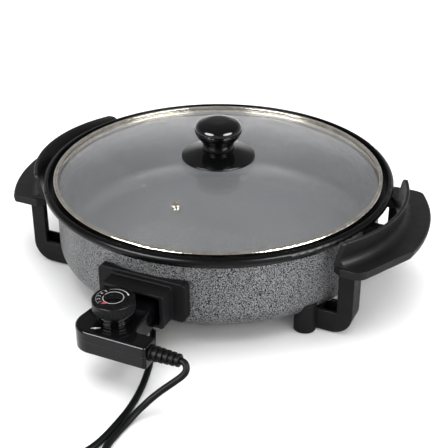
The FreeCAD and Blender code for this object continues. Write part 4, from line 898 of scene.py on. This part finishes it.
@dataclass
class DialMarks:
    """White ring, numbers, edge line and swelling arc, and a red pointer, printed on the dial's top.

    Directions are in degrees, anticlockwise from +X, and a pair of radii is inner and outer.
    """

    centre_mm: tuple[float, float] = (0.0, -244.5)
    top_mm: float = 87.5
    film_mm: float = 0.06
    ring_mm: tuple[float, float] = (10.0, 10.5)
    ring_steps: int = 60
    arc_deg: tuple[float, float] = (134.0, 48.0)
    arc_from_mm: tuple[float, float] = (15.0, 15.2)
    arc_to_mm: tuple[float, float] = (14.75, 15.55)
    arc_steps: int = 24
    barb_deg: tuple[float, float] = (48.0, 37.0)
    barb_from_mm: tuple[float, float] = (14.0, 16.2)
    barb_to_mm: tuple[float, float] = (15.1, 15.2)
    line_mm: tuple[float, float] = (16.9, 17.15)
    line_deg: tuple[float, float] = (152.0, 242.0)
    line_steps: int = 15
    numbers: str = "54321"
    number_mm: float = 14.2
    number_high_mm: float = 4.4
    number_deg: float = 150.0
    number_step_deg: float = 21.0
    pointer_deg: tuple[float, float, float] = (241.0, 249.0, 268.0)
    pointer_foot_mm: float = 11.2
    pointer_blunt_mm: float = 0.05
    pointer_tip_mm: float = 15.6

    def spot(self, radius: float, degrees: float) -> tuple[float, float, float]:
        """A place on the dial's printed film.

        Args:
            radius: Distance from the dial's axis in millimetres.
            degrees: Its direction.

        Returns:
            The place in metres.
        """
        ray = math.radians(degrees)
        x = self.centre_mm[0] + radius * math.cos(ray)
        y = self.centre_mm[1] + radius * math.sin(ray)
        return (x * MM, y * MM, (self.top_mm + self.film_mm) * MM)

    def band(
        self, start: tuple[float, float], end: tuple[float, float], sweep: tuple[float, float], steps: int = 1
    ) -> tuple[list, list]:
        """Points and faces of a band whose two radii change evenly along its sweep.

        Args:
            start: Radii where it starts.
            end: Radii where it ends.
            sweep: First and last direction.
            steps: How many faces it has.

        Returns:
            Vertices in metres and quadrilateral faces.
        """
        verts = []
        for step in range(steps + 1):
            share = step / steps
            degrees = sweep[0] + share * (sweep[1] - sweep[0])
            for low, high in zip(start, end):
                verts.append(self.spot(low + share * (high - low), degrees))
        return verts, [(2 * i, 2 * i + 1, 2 * i + 3, 2 * i + 2) for i in range(steps)]

    def add_to_dial(self, piece: bpy.types.Object) -> None:
        """Put a printed piece in the scene and on the dial's body.

        Args:
            piece: The piece.
        """
        bpy.context.scene.collection.objects.link(piece)
        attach(piece, "dial")
        log.info("%s printed", piece.name)

    def patch(self, name: str, bands: Sequence[tuple[list, list]], material: bpy.types.Material) -> None:
        """Join bands in one thin printed piece.

        Args:
            name: The piece's name.
            bands: Vertices and faces of each band.
            material: The ink.
        """
        verts, faces = [], []
        for points, quads in bands:
            start = len(verts)
            verts += points
            faces += [tuple(start + i for i in quad) for quad in quads]
        mesh = bpy.data.meshes.new(name)
        mesh.from_pydata(verts, [], faces)
        mesh.materials.append(material)
        self.add_to_dial(bpy.data.objects.new(name, mesh))

    def number(self, text: str, degrees: float, material: bpy.types.Material) -> None:
        """Print one number of the scale.

        Args:
            text: The number.
            degrees: Its direction.
            material: The ink.
        """
        data = bpy.data.curves.new(f"dial_number_{text}", "FONT")
        data.body = text
        data.size = self.number_high_mm * MM
        data.align_x = "CENTER"
        data.align_y = "CENTER"
        data.materials.append(material)
        piece = bpy.data.objects.new(f"dial_number_{text}", data)
        piece.location = self.spot(self.number_mm, degrees)
        piece.rotation_euler = (0.0, 0.0, math.radians(degrees) - math.pi / 2)
        self.add_to_dial(piece)

    def build(self) -> None:
        """Make all marks."""
        white = PrintInk("white_screen_ink", "#c4c4c2").build()
        red = PrintInk("red_screen_ink", "#a81c2c").build()
        ring = self.band(self.ring_mm, self.ring_mm, (0.0, 360.0), self.ring_steps)
        arc = self.band(self.arc_from_mm, self.arc_to_mm, self.arc_deg, self.arc_steps)
        barb = self.band(self.barb_from_mm, self.barb_to_mm, self.barb_deg)
        line = self.band(self.line_mm, self.line_mm, self.line_deg, self.line_steps)
        self.patch("dial_ring_print", [ring], white)
        self.patch("dial_scale_print", [arc, barb, line], white)
        for i, text in enumerate(self.numbers):
            self.number(text, self.number_deg + self.number_step_deg * i, white)
        first, middle, last = self.pointer_deg
        # Each flank rises from almost nothing at the ring to the pointer's tip
        foot = (self.pointer_foot_mm, self.pointer_foot_mm + self.pointer_blunt_mm)
        tip = (self.pointer_foot_mm, self.pointer_tip_mm)
        flanks = [self.band(foot, tip, (first, middle)), self.band(tip, foot, (middle, last))]
        self.patch("dial_pointer_print", flanks, red)


def main() -> None:
    """Build the scene: studio and cord first, then finishes and the dial's marks."""
    logging.basicConfig(level=logging.INFO)
    Studio().build()
    Cord().build()
    FinishBook().dress()
    DialMarks().build()


if __name__ == "__main__":
    main()
